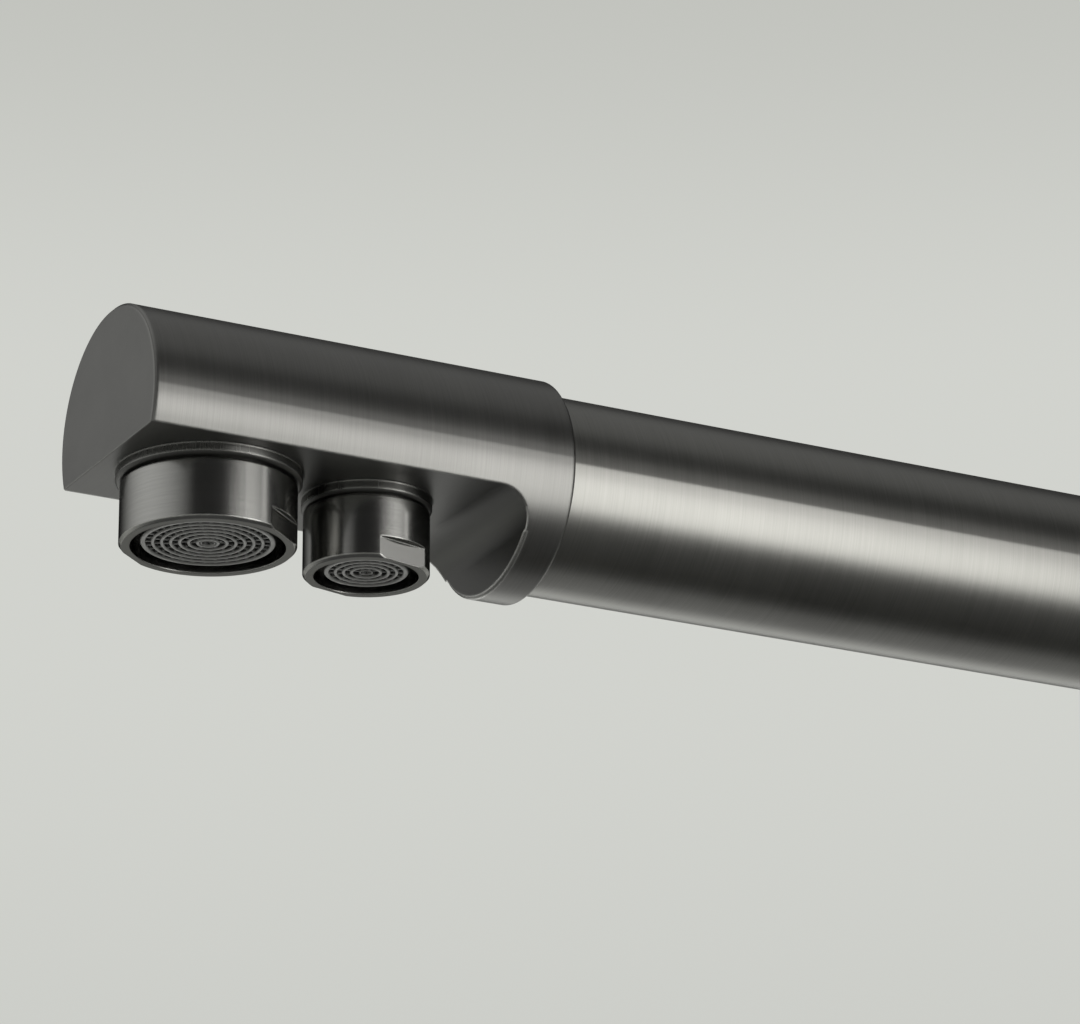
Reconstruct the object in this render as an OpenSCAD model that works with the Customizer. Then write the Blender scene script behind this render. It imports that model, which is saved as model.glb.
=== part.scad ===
// Three-way kitchen mixer tap: mixed and filtered water from one spout head.
// The origin is on the worktop, on the axis of the body. The spout points along -Y,
// the mixer lever is on +X and the filtered water lever is on -X. Sizes in millimetres.

/* [Spout tube] */
// Height of the arm's axis above the worktop
spout_h = 300; // [270:5:340]
// Reach from the column's axis to the main outlet's axis
reach = 215; // [190:5:240]
// Outer diameter of the spout tube
tube_d = 28; // [27:0.5:30]
// Wall of the spout tube
tube_wall = 1.5; // [1.2:0.1:2]
// Radius of the elbow at its centreline
elbow_r = 36; // [30:1:50]
// Outer diameter of the filtered water tube inside the spout
inner_tube_d = 8; // [7:0.25:8.5]
// Wall of the filtered water tube
inner_tube_wall = 1; // [0.8:0.1:1.2]

/* [Spout head] */
// Step from the tube's surface out to the head's surface
head_step = 1.75; // [1.25:0.25:2.5]
// Depth of the flat underside below the head's axis
flat_drop = 5.25; // [5:0.25:6.5]
// Length of the full round collar behind the cut-out
collar_len = 6; // [5.5:0.5:8]
// Radius of the fillet where the underside meets the collar
cut_fillet = 5; // [3:0.5:6]
// Gap between the small outlet's collar and the start of that fillet
fillet_gap = 4.15; // [2:0.05:8]
// Chamfer round the head's sharp edges
head_edge = 0.4; // [0.2:0.1:0.6]
// Distance from the tip to the main outlet's axis
main_from_tip = 15; // [14:0.5:16]
// Distance between the axes of the two outlets
outlet_pitch = 23.5; // [23:0.5:25]
// Depth of the seat that takes the end of the tube
tube_seat = 4; // [3:0.5:4]
// Length of the plug that the head pushes into the tube
plug_len = 14; // [12:1:20]
// Distance from the head's axis to the axes of the mixed water channels
head_channel_out = 8.2; // [8:0.1:8.4]
// Diameter of each mixed water channel in the head
head_channel_d = 5.2; // [4.6:0.2:5.2]
// Angle between neighbouring mixed water channels
head_channel_turn = 50; // [45:1:55]

/* [Outlets] */
// Outer diameter of the main aerator's shell
main_shell_d = 23.9; // [23:0.1:24.5]
// Diameter of the main aerator's thread
main_thread_d = 22; // [21.4:0.1:22.2]
// Depth of the main shell's lower rim below the arm's axis
main_drop = 15.8; // [15.7:0.1:17]
// Distance across the spanner flats of the main shell
main_flats = 22.5; // [22.2:0.1:22.8]
// Turn of the main shell's spanner flats about its axis
main_flats_turn = 40; // [0:1:90]
// Diameter of the collar over the main aerator
main_collar_d = 25.2; // [25:0.1:26]
// Outer diameter of the filter aerator's shell
filter_shell_d = 17.3; // [17:0.1:18]
// Diameter of the filter aerator's thread
filter_thread_d = 15.6; // [15.2:0.1:15.8]
// Depth of the filter shell's lower rim below the arm's axis
filter_drop = 16.2; // [16:0.1:17]
// Distance across the spanner flats of the filter shell
filter_flats = 15.4; // [15.2:0.1:16.2]
// Turn of the filter shell's spanner flats about its axis
filter_flats_turn = 14; // [0:1:90]
// Diameter of the collar over the filter aerator
filter_collar_d = 17.9; // [17.8:0.1:18.6]
// Height of both collars under the flat
collar_h = 1.7; // [1.2:0.1:2]
// Gap between a collar and the shell under it
shell_gap = 0.4; // [0.2:0.1:0.6]
// Height of the spanner flats
flats_h = 3; // [2.2:0.1:3.1]
// Chamfer at a shell's lower edge
shell_edge = 0.4; // [0.2:0.1:0.5]
// Width of the rim that shows round an insert
rim_w = 1.5; // [1.2:0.1:1.6]
// Gap between a rim and the insert's cup inside it
insert_gap = 1.4; // [0.8:0.1:1.6]
// Depth of an insert's face inside the rim
insert_recess = 0.6; // [0.3:0.1:0.8]
// Thickness of an insert's face
insert_face = 1; // [0.8:0.1:1.2]
// Wall of an insert's cup and of its ribs
insert_wall = 0.7; // [0.6:0.1:0.8]
// Spacing of the round ribs in an insert's face
rib_pitch = 1.7; // [1.5:0.1:2]
// Thickness of the aerator washers
washer_t = 1; // [0.8:0.1:1]
// Thickness of the main aerator's screen
screen_t = 0.5; // [0.3:0.1:0.6]

/* [Body] */
// Step from the tube's surface out to the body's surface
body_step = 9; // [8:0.5:13]
// Height of the body's top above the worktop
body_top = 140; // [134:1:160]
// Height of both levers' axes above the worktop
lever_h = 74; // [68:1:76]
// Chamfer round the body's edges
body_edge = 0.8; // [0.4:0.1:1.2]
// Diameter of the threads of the three inlets
port_d = 10; // [9:0.5:10]
// Depth of the inlets' threads
port_depth = 10; // [8:1:14]
// Distance of the inlets' axes from the body's axis
port_out = 7.2; // [6.8:0.1:7.4]
// Diameter of the channels in the body
channel_d = 5; // [4.4:0.1:5]
// Distance of the mixed water riser from the body's axis
mixed_out = 10; // [9.4:0.1:10.2]
// Diameter of the filtered water drillings
filter_channel_d = 3.6; // [3:0.1:4]

/* [Base and fixing] */
// Outer diameter of the base flange
flange_d = 54; // [50:1:64]
// Height of the base flange
flange_h = 5; // [4:0.5:8]
// Inner diameter of the gasket under the flange
gasket_in_d = 41; // [38:1:42]
// Outer diameter of the gasket under the flange
gasket_out_d = 48; // [46:1:49]
// Thickness of the gasket under the flange
gasket_t = 2; // [1:0.5:3]
// Diameter of the threaded shank
shank_d = 33; // [32:0.5:34]
// Wall of the threaded shank
shank_wall = 2.6; // [2:0.1:2.6]
// Length of the shank's thread inside the body
shank_grip = 13; // [10:1:16]
// Thickness of the worktop that is clamped
worktop_t = 38; // [20:1:50]
// Outer diameter of the washers under the worktop
washer_d = 54; // [50:1:64]
// Thickness of the rubber washer
rubber_washer_t = 3; // [2:0.5:5]
// Thickness of the steel washer
steel_washer_t = 2; // [1.5:0.5:3]
// Distance across the flats of the lock nut
nut_flats = 42; // [40:1:48]
// Height of the lock nut
nut_h = 10; // [8:1:14]
// Length of shank below the lock nut
shank_end = 7; // [4:1:20]

/* [Swivel] */
// Step from the tube's surface in to the spigot's shaft
spigot_step = 1.1; // [0.8:0.1:1.3]
// Diameter of the spigot's waterway
spigot_bore_d = 18; // [17:0.5:19]
// Length of the spigot in the body
spigot_depth = 28; // [27:0.5:32]
// Height of the space for water under the spigot
plenum_h = 8; // [7:0.5:10]
// Length of the spigot inside the tube
spigot_grip = 16; // [12:1:24]
// Height of the spigot's collar
spigot_collar_h = 2; // [1.5:0.5:3]
// Gap between the spigot's shaft and the body's bore
swivel_gap = 0.4; // [0.3:0.1:0.5]
// Wall of the upper bush
bush_wall = 2.5; // [2:0.1:3]
// Height of the upper bush
bush_h = 7; // [6:0.5:7.5]
// Depth of the O-ring grooves in the spigot
spigot_groove = 1.5; // [1.2:0.1:1.6]
// Width of the O-ring grooves in the spigot
spigot_groove_w = 2.4; // [2.2:0.1:2.6]
// Depth of the slide ring's groove
slide_groove = 0.7; // [0.5:0.1:0.9]
// Height of the slide ring
slide_h = 3; // [2:0.5:3]
// Swing of the spout to each side
swing = 60; // [45:5:75]
// Diameter of the stop screw
stop_screw_d = 4; // [3:0.5:4]
// Diameter of the stop screw's tip
stop_tip_d = 2.8; // [2:0.2:2.8]
// Height of the cover ring on top of the body
cover_h = 6; // [4:0.5:10]
// Outer diameter of the nipple that takes the filtered water tube
riser_d = 12; // [11.6:0.1:12]
// Width of the groove for the riser's O-ring
riser_groove_w = 2.2; // [2:0.1:2.6]
// Depth of the groove for the riser's O-ring
riser_groove = 1.2; // [1:0.1:1.2]

/* [Mixer cartridge] */
// Diameter of the boss that holds the cartridge
mixer_boss_d = 36; // [36:0.5:40]
// Distance from the body's axis to the cartridge's seat
seat_x = 24; // [23:0.5:28]
// Diameter of the cartridge's lower part
cartridge_d = 26.8; // [26.6:0.1:27]
// Height of the cartridge's base
base_h = 4; // [3.5:0.5:5]
// Thickness of the ceramic discs
disc_h = 3; // [2.8:0.1:3.4]
// Diameter of the fixed ceramic disc
fixed_disc_d = 21.6; // [21:0.1:22]
// Diameter of the moving ceramic disc
moving_disc_d = 18; // [17.6:0.1:18.4]
// Height of the plate that drives the moving disc
driver_h = 3.2; // [2.8:0.1:3.4]
// Width of the plate that drives the moving disc
driver_w = 14; // [12:0.5:14.5]
// Offset of the moving disc when the lever is shut
disc_rest = 1.4; // [1.2:0.1:1.5]
// Distance from the pivot to the stem's ball
pivot_arm = 6.4; // [6:0.1:6.6]
// Diameter of the stem's ball
ball_d = 3.6; // [3:0.1:3.8]
// Gap between the stem's ball and the disc under it
ball_lift = 0.35; // [0.3:0.05:0.6]
// Diameter of the waist over the stem's ball
waist_d = 2.4; // [2:0.1:2.6]
// Width of the square stem
stem_w = 6; // [5.4:0.1:6]
// Diameter of the pivot pin
pin_d = 3; // [2.4:0.1:3]
// Inner diameter of the cartridge's housing
housing_in_d = 22.8; // [22.4:0.1:23]
// Outer diameter of the housing above its shoulder
housing_d = 24.8; // [24.6:0.1:25]
// Height of the housing's shoulder above the seat
shoulder_h = 10; // [9:0.5:10]
// Thickness of the housing's lip
lip_t = 1.5; // [1.2:0.1:1.6]
// Diameter of the carrier's neck
neck_d = 17.5; // [17.2:0.1:18]
// Height of the carrier's shoulder above the pivot
carrier_rise = 4.6; // [4.2:0.1:5]
// Height of the carrier's neck above its shoulder
neck_h = 3.8; // [3:0.1:4]
// Diameter of the retaining nut
ring_nut_d = 28.8; // [28.4:0.1:29]
// Height of the retaining nut
ring_nut_h = 5; // [4:0.5:5]
// Diameter of the cartridge's three ports
disc_port_d = 4.6; // [4:0.1:4.8]
// Distance of the inlet ports above the cartridge's axis
inlet_up = 4.5; // [4.4:0.1:4.8]
// Distance of the outlet port below the cartridge's axis
outlet_down = 5.5; // [5.2:0.1:5.8]

/* [Mixer lever] */
// Tilt of the lever from shut to fully open
lift_angle = 25; // [20:1:25]
// Wall of the dome on the boss
dome_wall = 3.2; // [3:0.1:3.4]
// Diameter of the dome's opening
dome_hole_d = 22.4; // [22:0.1:24]
// Gap between the dome and the hub that slides over it
dome_gap = 0.4; // [0.3:0.1:0.6]
// Distance from the pivot to the hub's rim
hub_rim = 8.2; // [8.2:0.1:10]
// Distance from the pivot to the hub's end face
hub_end = 27; // [26.5:0.5:32]
// Chamfer round the hubs' edges
hub_edge = 0.6; // [0.3:0.1:1]
// Depth of the stem's seat below the hub's end face
stem_cover = 2; // [1.5:0.5:3]
// Diameter of the mixer's rod
mixer_rod_d = 8; // [6:0.5:9]
// Length of the mixer's rod outside the hub
mixer_rod_len = 60; // [40:5:90]
// Distance from the pivot to the rod's axis
mixer_rod_at = 20; // [19.5:0.5:21]
// Depth of the rods' seats in their hubs
rod_seat = 3; // [2:0.5:4]
// Diameter of the rods' threaded ends
rod_end_d = 5; // [4:0.5:5]
// Length of the rods' threaded ends
rod_end_len = 5; // [3:0.5:5]
// Diameter of the grub screws
grub_d = 4; // [3:0.5:4]
// Length of the grub screws
grub_len = 7; // [5:0.5:7]
// Width of a grub screw's hexagon socket
grub_key = 2; // [1.5:0.5:2]
// Diameter of the plugs over the grub screws
plug_d = 5; // [4.5:0.5:5.5]
// Thickness of the plugs over the grub screws
plug_t = 1.6; // [1:0.1:1.8]

/* [Filter valve] */
// Diameter of the boss that holds the headwork
filter_boss_d = 28; // [28:0.5:34]
// Distance from the body's axis to the headwork's seat
filter_seat_x = 16; // [15.5:0.5:17]
// Diameter of the headwork's thread
headwork_d = 21; // [20.8:0.1:21.4]
// Length of the headwork from its seat to the boss's end
headwork_len = 26.5; // [26:0.5:32]
// Diameter of the headwork's nose
nose_d = 18.4; // [18.2:0.1:18.8]
// Length of the headwork's nose
nose_len = 12; // [11.8:0.1:12.5]
// Diameter of the filter valve's ceramic discs
valve_disc_d = 16.2; // [15.8:0.1:16.3]
// Thickness of the filter valve's ceramic discs
valve_disc_h = 2.5; // [2:0.1:2.6]
// Height of the seat seal
seal_h = 2; // [1.6:0.1:2.2]
// Diameter of the seat seal
seal_d = 14.4; // [13:0.2:15]
// Diameter of the seat seal's bore
seal_bore_d = 6; // [5:0.2:7]
// Height of the spindle's foot
foot_h = 2.2; // [1.8:0.1:2.4]
// Diameter of the spindle's shaft
spindle_d = 10; // [9:0.2:10.4]
// Diameter of the headwork's neck
valve_neck_d = 13.6; // [13:0.1:14.5]
// Length of the headwork's neck outside the boss
valve_neck_len = 4.5; // [4.2:0.1:5]
// Distance across the flats of the headwork's collar
headwork_flats = 20; // [18:0.5:20.5]
// Height of the headwork's collar
headwork_collar_h = 3; // [2:0.5:3.5]
// Diameter of the O-ring under the headwork's collar
collar_ring_d = 23.6; // [23.2:0.1:24]
// Width of the groove for the O-ring under the collar
collar_ring_w = 1.6; // [1.4:0.1:1.8]
// Depth of the grooves for the spindle's O-rings
spindle_groove = 1; // [0.8:0.1:1.2]
// Width of the grooves for the spindle's O-rings
spindle_groove_w = 1.9; // [1.8:0.1:2.2]
// Diameter of the spindle's end in the hub
spline_d = 8.4; // [8:0.1:8.6]
// Length of the spindle's end in the hub
spline_len = 8; // [7:0.5:9]
// Diameter of the spindle's retaining clip
clip_d = 12.6; // [12:0.1:13]
// Thickness of the spindle's retaining clip
clip_t = 0.8; // [0.6:0.1:1]
// Wall of the filter hub round its hollow
filter_hub_wall = 1.5; // [1.2:0.1:1.6]
// Length of the filter hub past the spindle's end
filter_hub_cover = 3.8; // [3:0.2:6]
// Diameter of the filter lever's rod
filter_rod_d = 7; // [5:0.5:8]
// Length of the filter lever's rod outside the hub
filter_rod_len = 45; // [30:5:70]

/* [Fits] */
// Clearance in radius between a thread and its hole
thread_gap = 0.05; // [0.02:0.01:0.1]
// Clearance in radius of a turning fit
turn_gap = 0.06; // [0.03:0.01:0.1]
// Clearance in radius of a piece that is only laid in its hole
fit_gap = 0.2; // [0.1:0.05:0.3]
// Gap between faces that slide on each other
slide_gap = 0.05; // [0.03:0.01:0.1]
// Gap between covers that turn past each other
cover_gap = 0.3; // [0.2:0.05:0.5]
// Room round a piece that moves in a slot
move_gap = 0.3; // [0.2:0.05:0.4]

/* [Hidden] */
$fn = 96;
// Overrun of every cut past the face it starts from
over = 1;
// Colours
gunmetal = [0.33, 0.33, 0.31];
steel = [0.72, 0.73, 0.74];
brass = [0.78, 0.66, 0.36];
rubber = [0.09, 0.09, 0.09];
plastic = [0.86, 0.86, 0.84];
dark_plastic = [0.2, 0.2, 0.21];
ceramic = [0.93, 0.92, 0.88];

// Spout tube
tube_r = tube_d / 2;
tube_in = tube_r - tube_wall;
inner_r = inner_tube_d / 2;
tip_y = reach + main_from_tip;
cover_z = body_top + cover_gap;
tube_z = cover_z + spigot_collar_h;
column_top = spout_h - elbow_r;

// Spout head, measured from its tip
head_r = tube_r + head_step;
filter_from_tip = main_from_tip + outlet_pitch;
cut_end = filter_from_tip + filter_collar_d / 2 + fillet_gap + cut_fillet;
head_len = cut_end + collar_len;
head_rear_y = tip_y - head_len;
plug_r = tube_in - thread_gap;
seat_at = head_len - tube_seat;
plug_at = head_len - tube_seat + plug_len;
main_nipple_end = main_drop - flats_h - insert_wall * 2 - screen_t - washer_t;
filter_nipple_end = filter_drop - flats_h - insert_wall * 2 - washer_t;
head_groove_depth = tube_wall;
head_groove_w = spigot_groove_w;
head_groove_at = (seat_at + plug_at) / 2;
insert_boss_share = 1.6;
main_bore_share = 0.7;
main_bore_d = main_thread_d * main_bore_share;
filter_bore_share = 0.58;
filter_bore_d = filter_thread_d * filter_bore_share;
inner_end_at = filter_from_tip + filter_bore_d;

// Body
body_r = tube_r + body_step;
chamber_r = tube_r - spigot_step + swivel_gap;
chamber_z = body_top - spigot_depth - plenum_h;
port_z = flange_h + shank_grip;
channel_z = port_z + port_depth;
port_r = port_d / 2 + thread_gap;
shank_r = shank_d / 2;
shank_in = shank_r - shank_wall;
channel_r = channel_d / 2;
filter_channel_r = filter_channel_d / 2;
cross_wall_share = 0.4;
cross_z = chamber_z - filter_channel_r - cross_wall_share * plenum_h;
// Width of a cross channel as a share of the channel that it meets
cross_share = 0.85;
cross_r = channel_r * cross_share;
filter_cross_r = filter_channel_r * cross_share;
filter_rise_share = 0.75;
filter_rise_x = filter_seat_x + filter_channel_d * filter_rise_share;
inlet_x = port_out * cos(60);
inlet_y = port_out * sin(60);
riser_step = inner_tube_wall;

// Fixing under the worktop
rubber_washer_z = -worktop_t - rubber_washer_t;
steel_washer_z = rubber_washer_z - steel_washer_t;
lock_nut_z = steel_washer_z - nut_h;
shank_z = lock_nut_z - shank_end;

// Swivel
spigot_r = tube_r - spigot_step;
spigot_z = body_top - spigot_depth;
bush_z = body_top - bush_h;
stop_groove_w = stop_tip_d + 2 * move_gap;
groove_room = (spigot_depth - bush_h - slide_h - 2 * spigot_groove_w - stop_groove_w) / 5;
slide_z = spigot_z + groove_room;
ring_1_z = slide_z + slide_h + groove_room;
ring_2_z = ring_1_z + spigot_groove_w + groove_room;
stop_groove_z = ring_2_z + spigot_groove_w + groove_room;
stop_z = stop_groove_z + stop_groove_w / 2;
stop_depth = spigot_groove;
stop_tip_at = spigot_r - stop_depth + move_gap;
stop_body_at = chamber_r + move_gap;
stop_half = swing + asin((stop_tip_d / 2 + move_gap) / (spigot_r - stop_depth));
inner_z = chamber_z + riser_step;
riser_groove_z = chamber_z + plenum_h / 2 - riser_groove_w / 2;

// Cartridge, measured up from its seat
cartridge_r = cartridge_d / 2;
housing_in = housing_in_d / 2;
moving_z = base_h + disc_h + slide_gap;
driver_z = moving_z + disc_h;
ball_z = driver_z + ball_lift + ball_d / 2;
pivot_z = ball_z + pivot_arm;
carrier_z = driver_z + move_gap;
carrier_top = pivot_z + carrier_rise;
lip_z = carrier_top + slide_gap;
housing_top = lip_z + lip_t;
neck_top = carrier_top + neck_h;
ring_nut_top = shoulder_h + ring_nut_h;
pivot_x = seat_x + pivot_z;
stem_half = stem_w / 2;
waist_top = pivot_z - pivot_arm / 2;
slot_half = ball_d / 2 + move_gap / 2;
peg_share = 0.6;
peg_d = disc_port_d * peg_share;
peg_h = base_h / 2;
peg_x = inlet_up;
peg_y = fixed_disc_d / 2 - peg_d / 2;
seal_ring_r = disc_port_d / 2 + insert_wall * 2;
seal_ring_share = 0.35;
seal_ring_h = base_h * seal_ring_share;
base_lift = slide_gap * 2;
slot_back = stem_half / cos(lift_angle) + move_gap;
slot_out = (neck_top - pivot_z) * tan(lift_angle) + slot_back;
slot_in = (pivot_z - waist_top) * tan(lift_angle) + slot_back;

// Mixer lever
boss_r = mixer_boss_d / 2;
dome_in = boss_r - dome_wall;
skirt_r = (boss_r + dome_in) / 2;
hub_in = boss_r + dome_gap;
stem_top = pivot_z + hub_end - stem_cover;
mixer_rod_z = pivot_z + mixer_rod_at;
mixer_rod_in = boss_r - rod_seat;
grub_hole_r = grub_d / 2 + thread_gap;
plug_hole_r = plug_d / 2 + thread_gap;

// Depth of a plug's face below the hub's surface
plug_sink = 0.1;

// Filter valve, measured up from its seat
// Angle of each opening in the ceramic discs
quarter_open = 80;
filter_boss_r = filter_boss_d / 2;
filter_boss_x = filter_seat_x + headwork_len;
headwork_bore = headwork_d / 2 + thread_gap;
valve_in = valve_disc_d / 2 + slide_gap * 2;
turning_z = seal_h + valve_disc_h + slide_gap;
foot_z = turning_z + valve_disc_h + slide_gap;
window_h = nose_len - foot_z - foot_h;
collar_ring_z = headwork_len - collar_ring_w;
collar_ring_in = nose_d / 2;
valve_neck_top = headwork_len + valve_neck_len;
clip_z = valve_neck_top + cover_gap;
spline_z = clip_z + clip_t + cover_gap;
spline_top = spline_z + spline_len;
filter_hub_z = headwork_len + cover_gap;
filter_hub_top = spline_top + filter_hub_cover;
filter_hollow_r = filter_boss_r - filter_hub_wall;
filter_rod_z = (spline_z + filter_hub_top) / 2;
filter_rod_in = filter_boss_r - rod_seat;
spindle_ring_gap = (valve_neck_top - nose_len - 2 * spindle_groove_w) / 3;
spindle_ring_1 = nose_len + spindle_ring_gap;
spindle_ring_2 = spindle_ring_1 + spindle_groove_w + spindle_ring_gap;

// Shared shapes

// A cylinder along Z from z0 to z1
module post(z0, z1, r) {
    translate([0, 0, z0])
        cylinder(h = z1 - z0, r = r);
}

// A ring along Z from z0 to z1
module ring(z0, z1, r_out, r_in) {
    difference() {
        post(z0, z1, r_out);
        post(z0 - over, z1 + over, r_in);
    }
}

// A cylinder along Z with a chamfer at both ends
module turned(z0, z1, r, edge) {
    translate([0, 0, z0])
        rotate_extrude()
            polygon([
                [0, 0],
                [r - edge, 0],
                [r, edge],
                [r, z1 - z0 - edge],
                [r - edge, z1 - z0],
                [0, z1 - z0]
            ]);
}

// A round rubber ring that fills a groove from z0 to z1
module o_ring(z0, z1, r_in, r_out) {
    section = min(z1 - z0, r_out - r_in);
    translate([0, 0, (z0 + z1) / 2])
        rotate_extrude()
            translate([(r_in + r_out) / 2, 0])
                circle(d = section);
}

// A hexagonal prism along Z, by the distance across its flats
module hexagon(z0, z1, flats) {
    translate([0, 0, z0])
        cylinder(h = z1 - z0, d = flats / cos(30), $fn = 6);
}

// A square bar along Z, centred on the axis
module bar(z0, z1, w) {
    translate([-w / 2, -w / 2, z0])
        cube([w, w, z1 - z0]);
}

// What lies along +X, drawn as if it stood on its seat
module on_mixer_side() {
    translate([seat_x, 0, lever_h])
        rotate([0, 90, 0])
            children();
}

// What lies along -X, drawn as if it stood on its seat
module on_filter_side() {
    translate([-filter_seat_x, 0, lever_h])
        rotate([0, -90, 0])
            children();
}

// What belongs to the head: the tip is at zero and +Y runs back along the arm
module on_head() {
    translate([0, -tip_y, spout_h])
        children();
}

// An outline in Y and Z, drawn out along X
module side_outline(width) {
    rotate([90, 0, 90])
        linear_extrude(height = width, center = true)
            children();
}

// A cylinder along Y from y0 to y1
module lying(y0, y1, r) {
    translate([0, y0, 0])
        rotate([-90, 0, 0])
            cylinder(h = y1 - y0, r = r);
}

// A rod that follows the spout's centreline from z0 on the column to y1 on the arm
module along_spout(z0, y1, r) {
    post(z0, column_top, r);
    translate([0, -elbow_r, column_top])
        rotate([90, 0, 90])
            rotate_extrude(angle = 90)
                translate([elbow_r, 0])
                    circle(r = r);
    translate([0, 0, spout_h])
        lying(-y1, -elbow_r, r);
}

// Base and fixing

module base_flange() {
    color(gunmetal)
        difference() {
            rotate_extrude()
                polygon([
                    [0, 0],
                    [flange_d / 2, 0],
                    [flange_d / 2, flange_h - body_edge],
                    [flange_d / 2 - body_edge, flange_h],
                    [0, flange_h]
                ]);
            post(-over, flange_h + over, shank_r + fit_gap);
            ring(-over, gasket_t, gasket_out_d / 2, gasket_in_d / 2);
        }
}

module base_gasket() {
    color(rubber)
        ring(0, gasket_t, gasket_out_d / 2, gasket_in_d / 2);
}

module shank() {
    color(brass)
        ring(shank_z, port_z, shank_r, shank_in);
}

module rubber_washer() {
    color(rubber)
        ring(rubber_washer_z, -worktop_t, washer_d / 2, shank_r + fit_gap);
}

module steel_washer() {
    color(steel)
        ring(steel_washer_z, rubber_washer_z, washer_d / 2, shank_r + fit_gap);
}

module lock_nut() {
    color(brass)
        difference() {
            hexagon(lock_nut_z, steel_washer_z, nut_flats);
            post(lock_nut_z - over, steel_washer_z + over, shank_r + thread_gap);
        }
}

// Body

// The outside of the body with its two bosses
module body_outside() {
    translate([0, 0, flange_h])
        turned(0, body_top - flange_h, body_r, body_edge);
    translate([0, 0, lever_h])
        rotate([0, 90, 0])
            post(0, pivot_x, boss_r);
    translate([0, 0, lever_h])
        rotate([0, -90, 0])
            post(0, filter_boss_x, filter_boss_r);
}

// The three threaded inlets and the channels over them
module inlet_cuts() {
    for (side = [-1, 1]) {
        translate([inlet_x, side * inlet_y, 0])
            post(port_z - over, channel_z, port_r);
        translate([inlet_x, side * inlet_y, 0])
            post(channel_z - over, lever_h + inlet_up + channel_r, channel_r);
        translate([0, side * inlet_y, lever_h + inlet_up])
            rotate([0, 90, 0])
                post(inlet_x, seat_x + over, cross_r);
    }
    translate([-port_out, 0, 0])
        post(port_z - over, channel_z, port_r);
    translate([-port_out, 0, 0])
        post(channel_z - over, lever_h + channel_r, channel_r);
    translate([0, 0, lever_h])
        rotate([0, -90, 0])
            post(port_out, filter_seat_x + over, cross_r);
}

// The chamber of the cartridge, with its peg holes and the mixed water riser
module mixer_cuts() {
    on_mixer_side() {
        post(0, pivot_z + over, cartridge_r + fit_gap);
        post(shoulder_h, pivot_z + over, ring_nut_d / 2 + thread_gap);
        post(ring_nut_top, pivot_z + over, skirt_r + thread_gap);
        for (side = [-1, 1])
            translate([peg_x, side * peg_y, 0])
                post(-peg_h - slide_gap, over, peg_d / 2 + slide_gap);
    }
    translate([0, 0, lever_h - outlet_down])
        rotate([0, 90, 0])
            post(mixed_out, seat_x + over, cross_r);
    translate([mixed_out, 0, 0])
        post(lever_h - outlet_down - channel_r, chamber_z + over, channel_r);
}

// The chamber of the headwork and the filtered water drillings
module filter_cuts() {
    on_filter_side() {
        post(0, headwork_len + over, headwork_bore);
        post(collar_ring_z, headwork_len + over, collar_ring_d / 2 + thread_gap);
    }
    translate([-filter_rise_x, 0, 0])
        post(lever_h + headwork_d / 4, cross_z + filter_channel_r, filter_channel_r);
    translate([0, 0, cross_z])
        rotate([0, -90, 0])
            post(0, filter_rise_x, filter_cross_r);
}

// The chamber of the swivel, with the riser standing in it
module swivel_cuts() {
    difference() {
        post(chamber_z, body_top + over, chamber_r);
        post(chamber_z - over, chamber_z + plenum_h, riser_d / 2);
    }
    post(bush_z, body_top + over, spigot_r + bush_wall);
    post(chamber_z, chamber_z + plenum_h + over, inner_r + turn_gap);
    post(riser_groove_z, riser_groove_z + riser_groove_w, inner_r + riser_groove);
    post(cross_z - filter_channel_r, chamber_z + over, inner_r - inner_tube_wall);
    translate([0, 0, stop_z])
        lying(0, body_r + over, stop_screw_d / 2 + thread_gap);
}

module tap_body() {
    color(gunmetal)
        difference() {
            body_outside();
            post(flange_h - over, port_z, shank_r + thread_gap);
            inlet_cuts();
            mixer_cuts();
            filter_cuts();
            swivel_cuts();
        }
}

// Swivel

module swivel_bush() {
    color(plastic)
        ring(bush_z, body_top, spigot_r + bush_wall, spigot_r + turn_gap);
}

module riser_o_ring() {
    color(rubber)
        o_ring(riser_groove_z, riser_groove_z + riser_groove_w,
            inner_r + turn_gap, inner_r + riser_groove);
}

module swivel_stop_screw() {
    color(steel)
        translate([0, 0, stop_z])
            difference() {
                union() {
                    lying(stop_body_at, body_r - body_edge, stop_screw_d / 2);
                    lying(stop_tip_at, stop_body_at + over, stop_tip_d / 2);
                }
                translate([0, body_r - body_edge - stop_screw_d / 2, 0])
                    rotate([-90, 0, 0])
                        hexagon(0, stop_screw_d, grub_key);
            }
}

// The arc in which the stop screw's tip runs, cut into the spigot
module stop_arc() {
    translate([0, 0, stop_groove_z])
        rotate([0, 0, 90 - stop_half])
            rotate_extrude(angle = 2 * stop_half)
                translate([spigot_r - stop_depth, 0])
                    square([stop_depth + over, stop_groove_w]);
}

module spigot() {
    color(brass)
        difference() {
            union() {
                post(spigot_z, cover_z + spigot_collar_h / 2, spigot_r);
                post(cover_z, tube_z, tube_r);
                post(tube_z - spigot_collar_h / 2, tube_z + spigot_grip, plug_r);
            }
            post(spigot_z - over, tube_z + spigot_grip + over, spigot_bore_d / 2);
            ring(slide_z, slide_z + slide_h, spigot_r + over, spigot_r - slide_groove);
            for (z = [ring_1_z, ring_2_z])
                ring(z, z + spigot_groove_w, spigot_r + over, spigot_r - spigot_groove);
            stop_arc();
        }
}

module spigot_o_rings() {
    color(rubber)
        for (z = [ring_1_z, ring_2_z])
            o_ring(z, z + spigot_groove_w, spigot_r - spigot_groove, chamber_r - turn_gap);
}

module slide_ring() {
    color(plastic)
        ring(slide_z + slide_gap, slide_z + slide_h - slide_gap,
            chamber_r - turn_gap, spigot_r - slide_groove);
}

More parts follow.
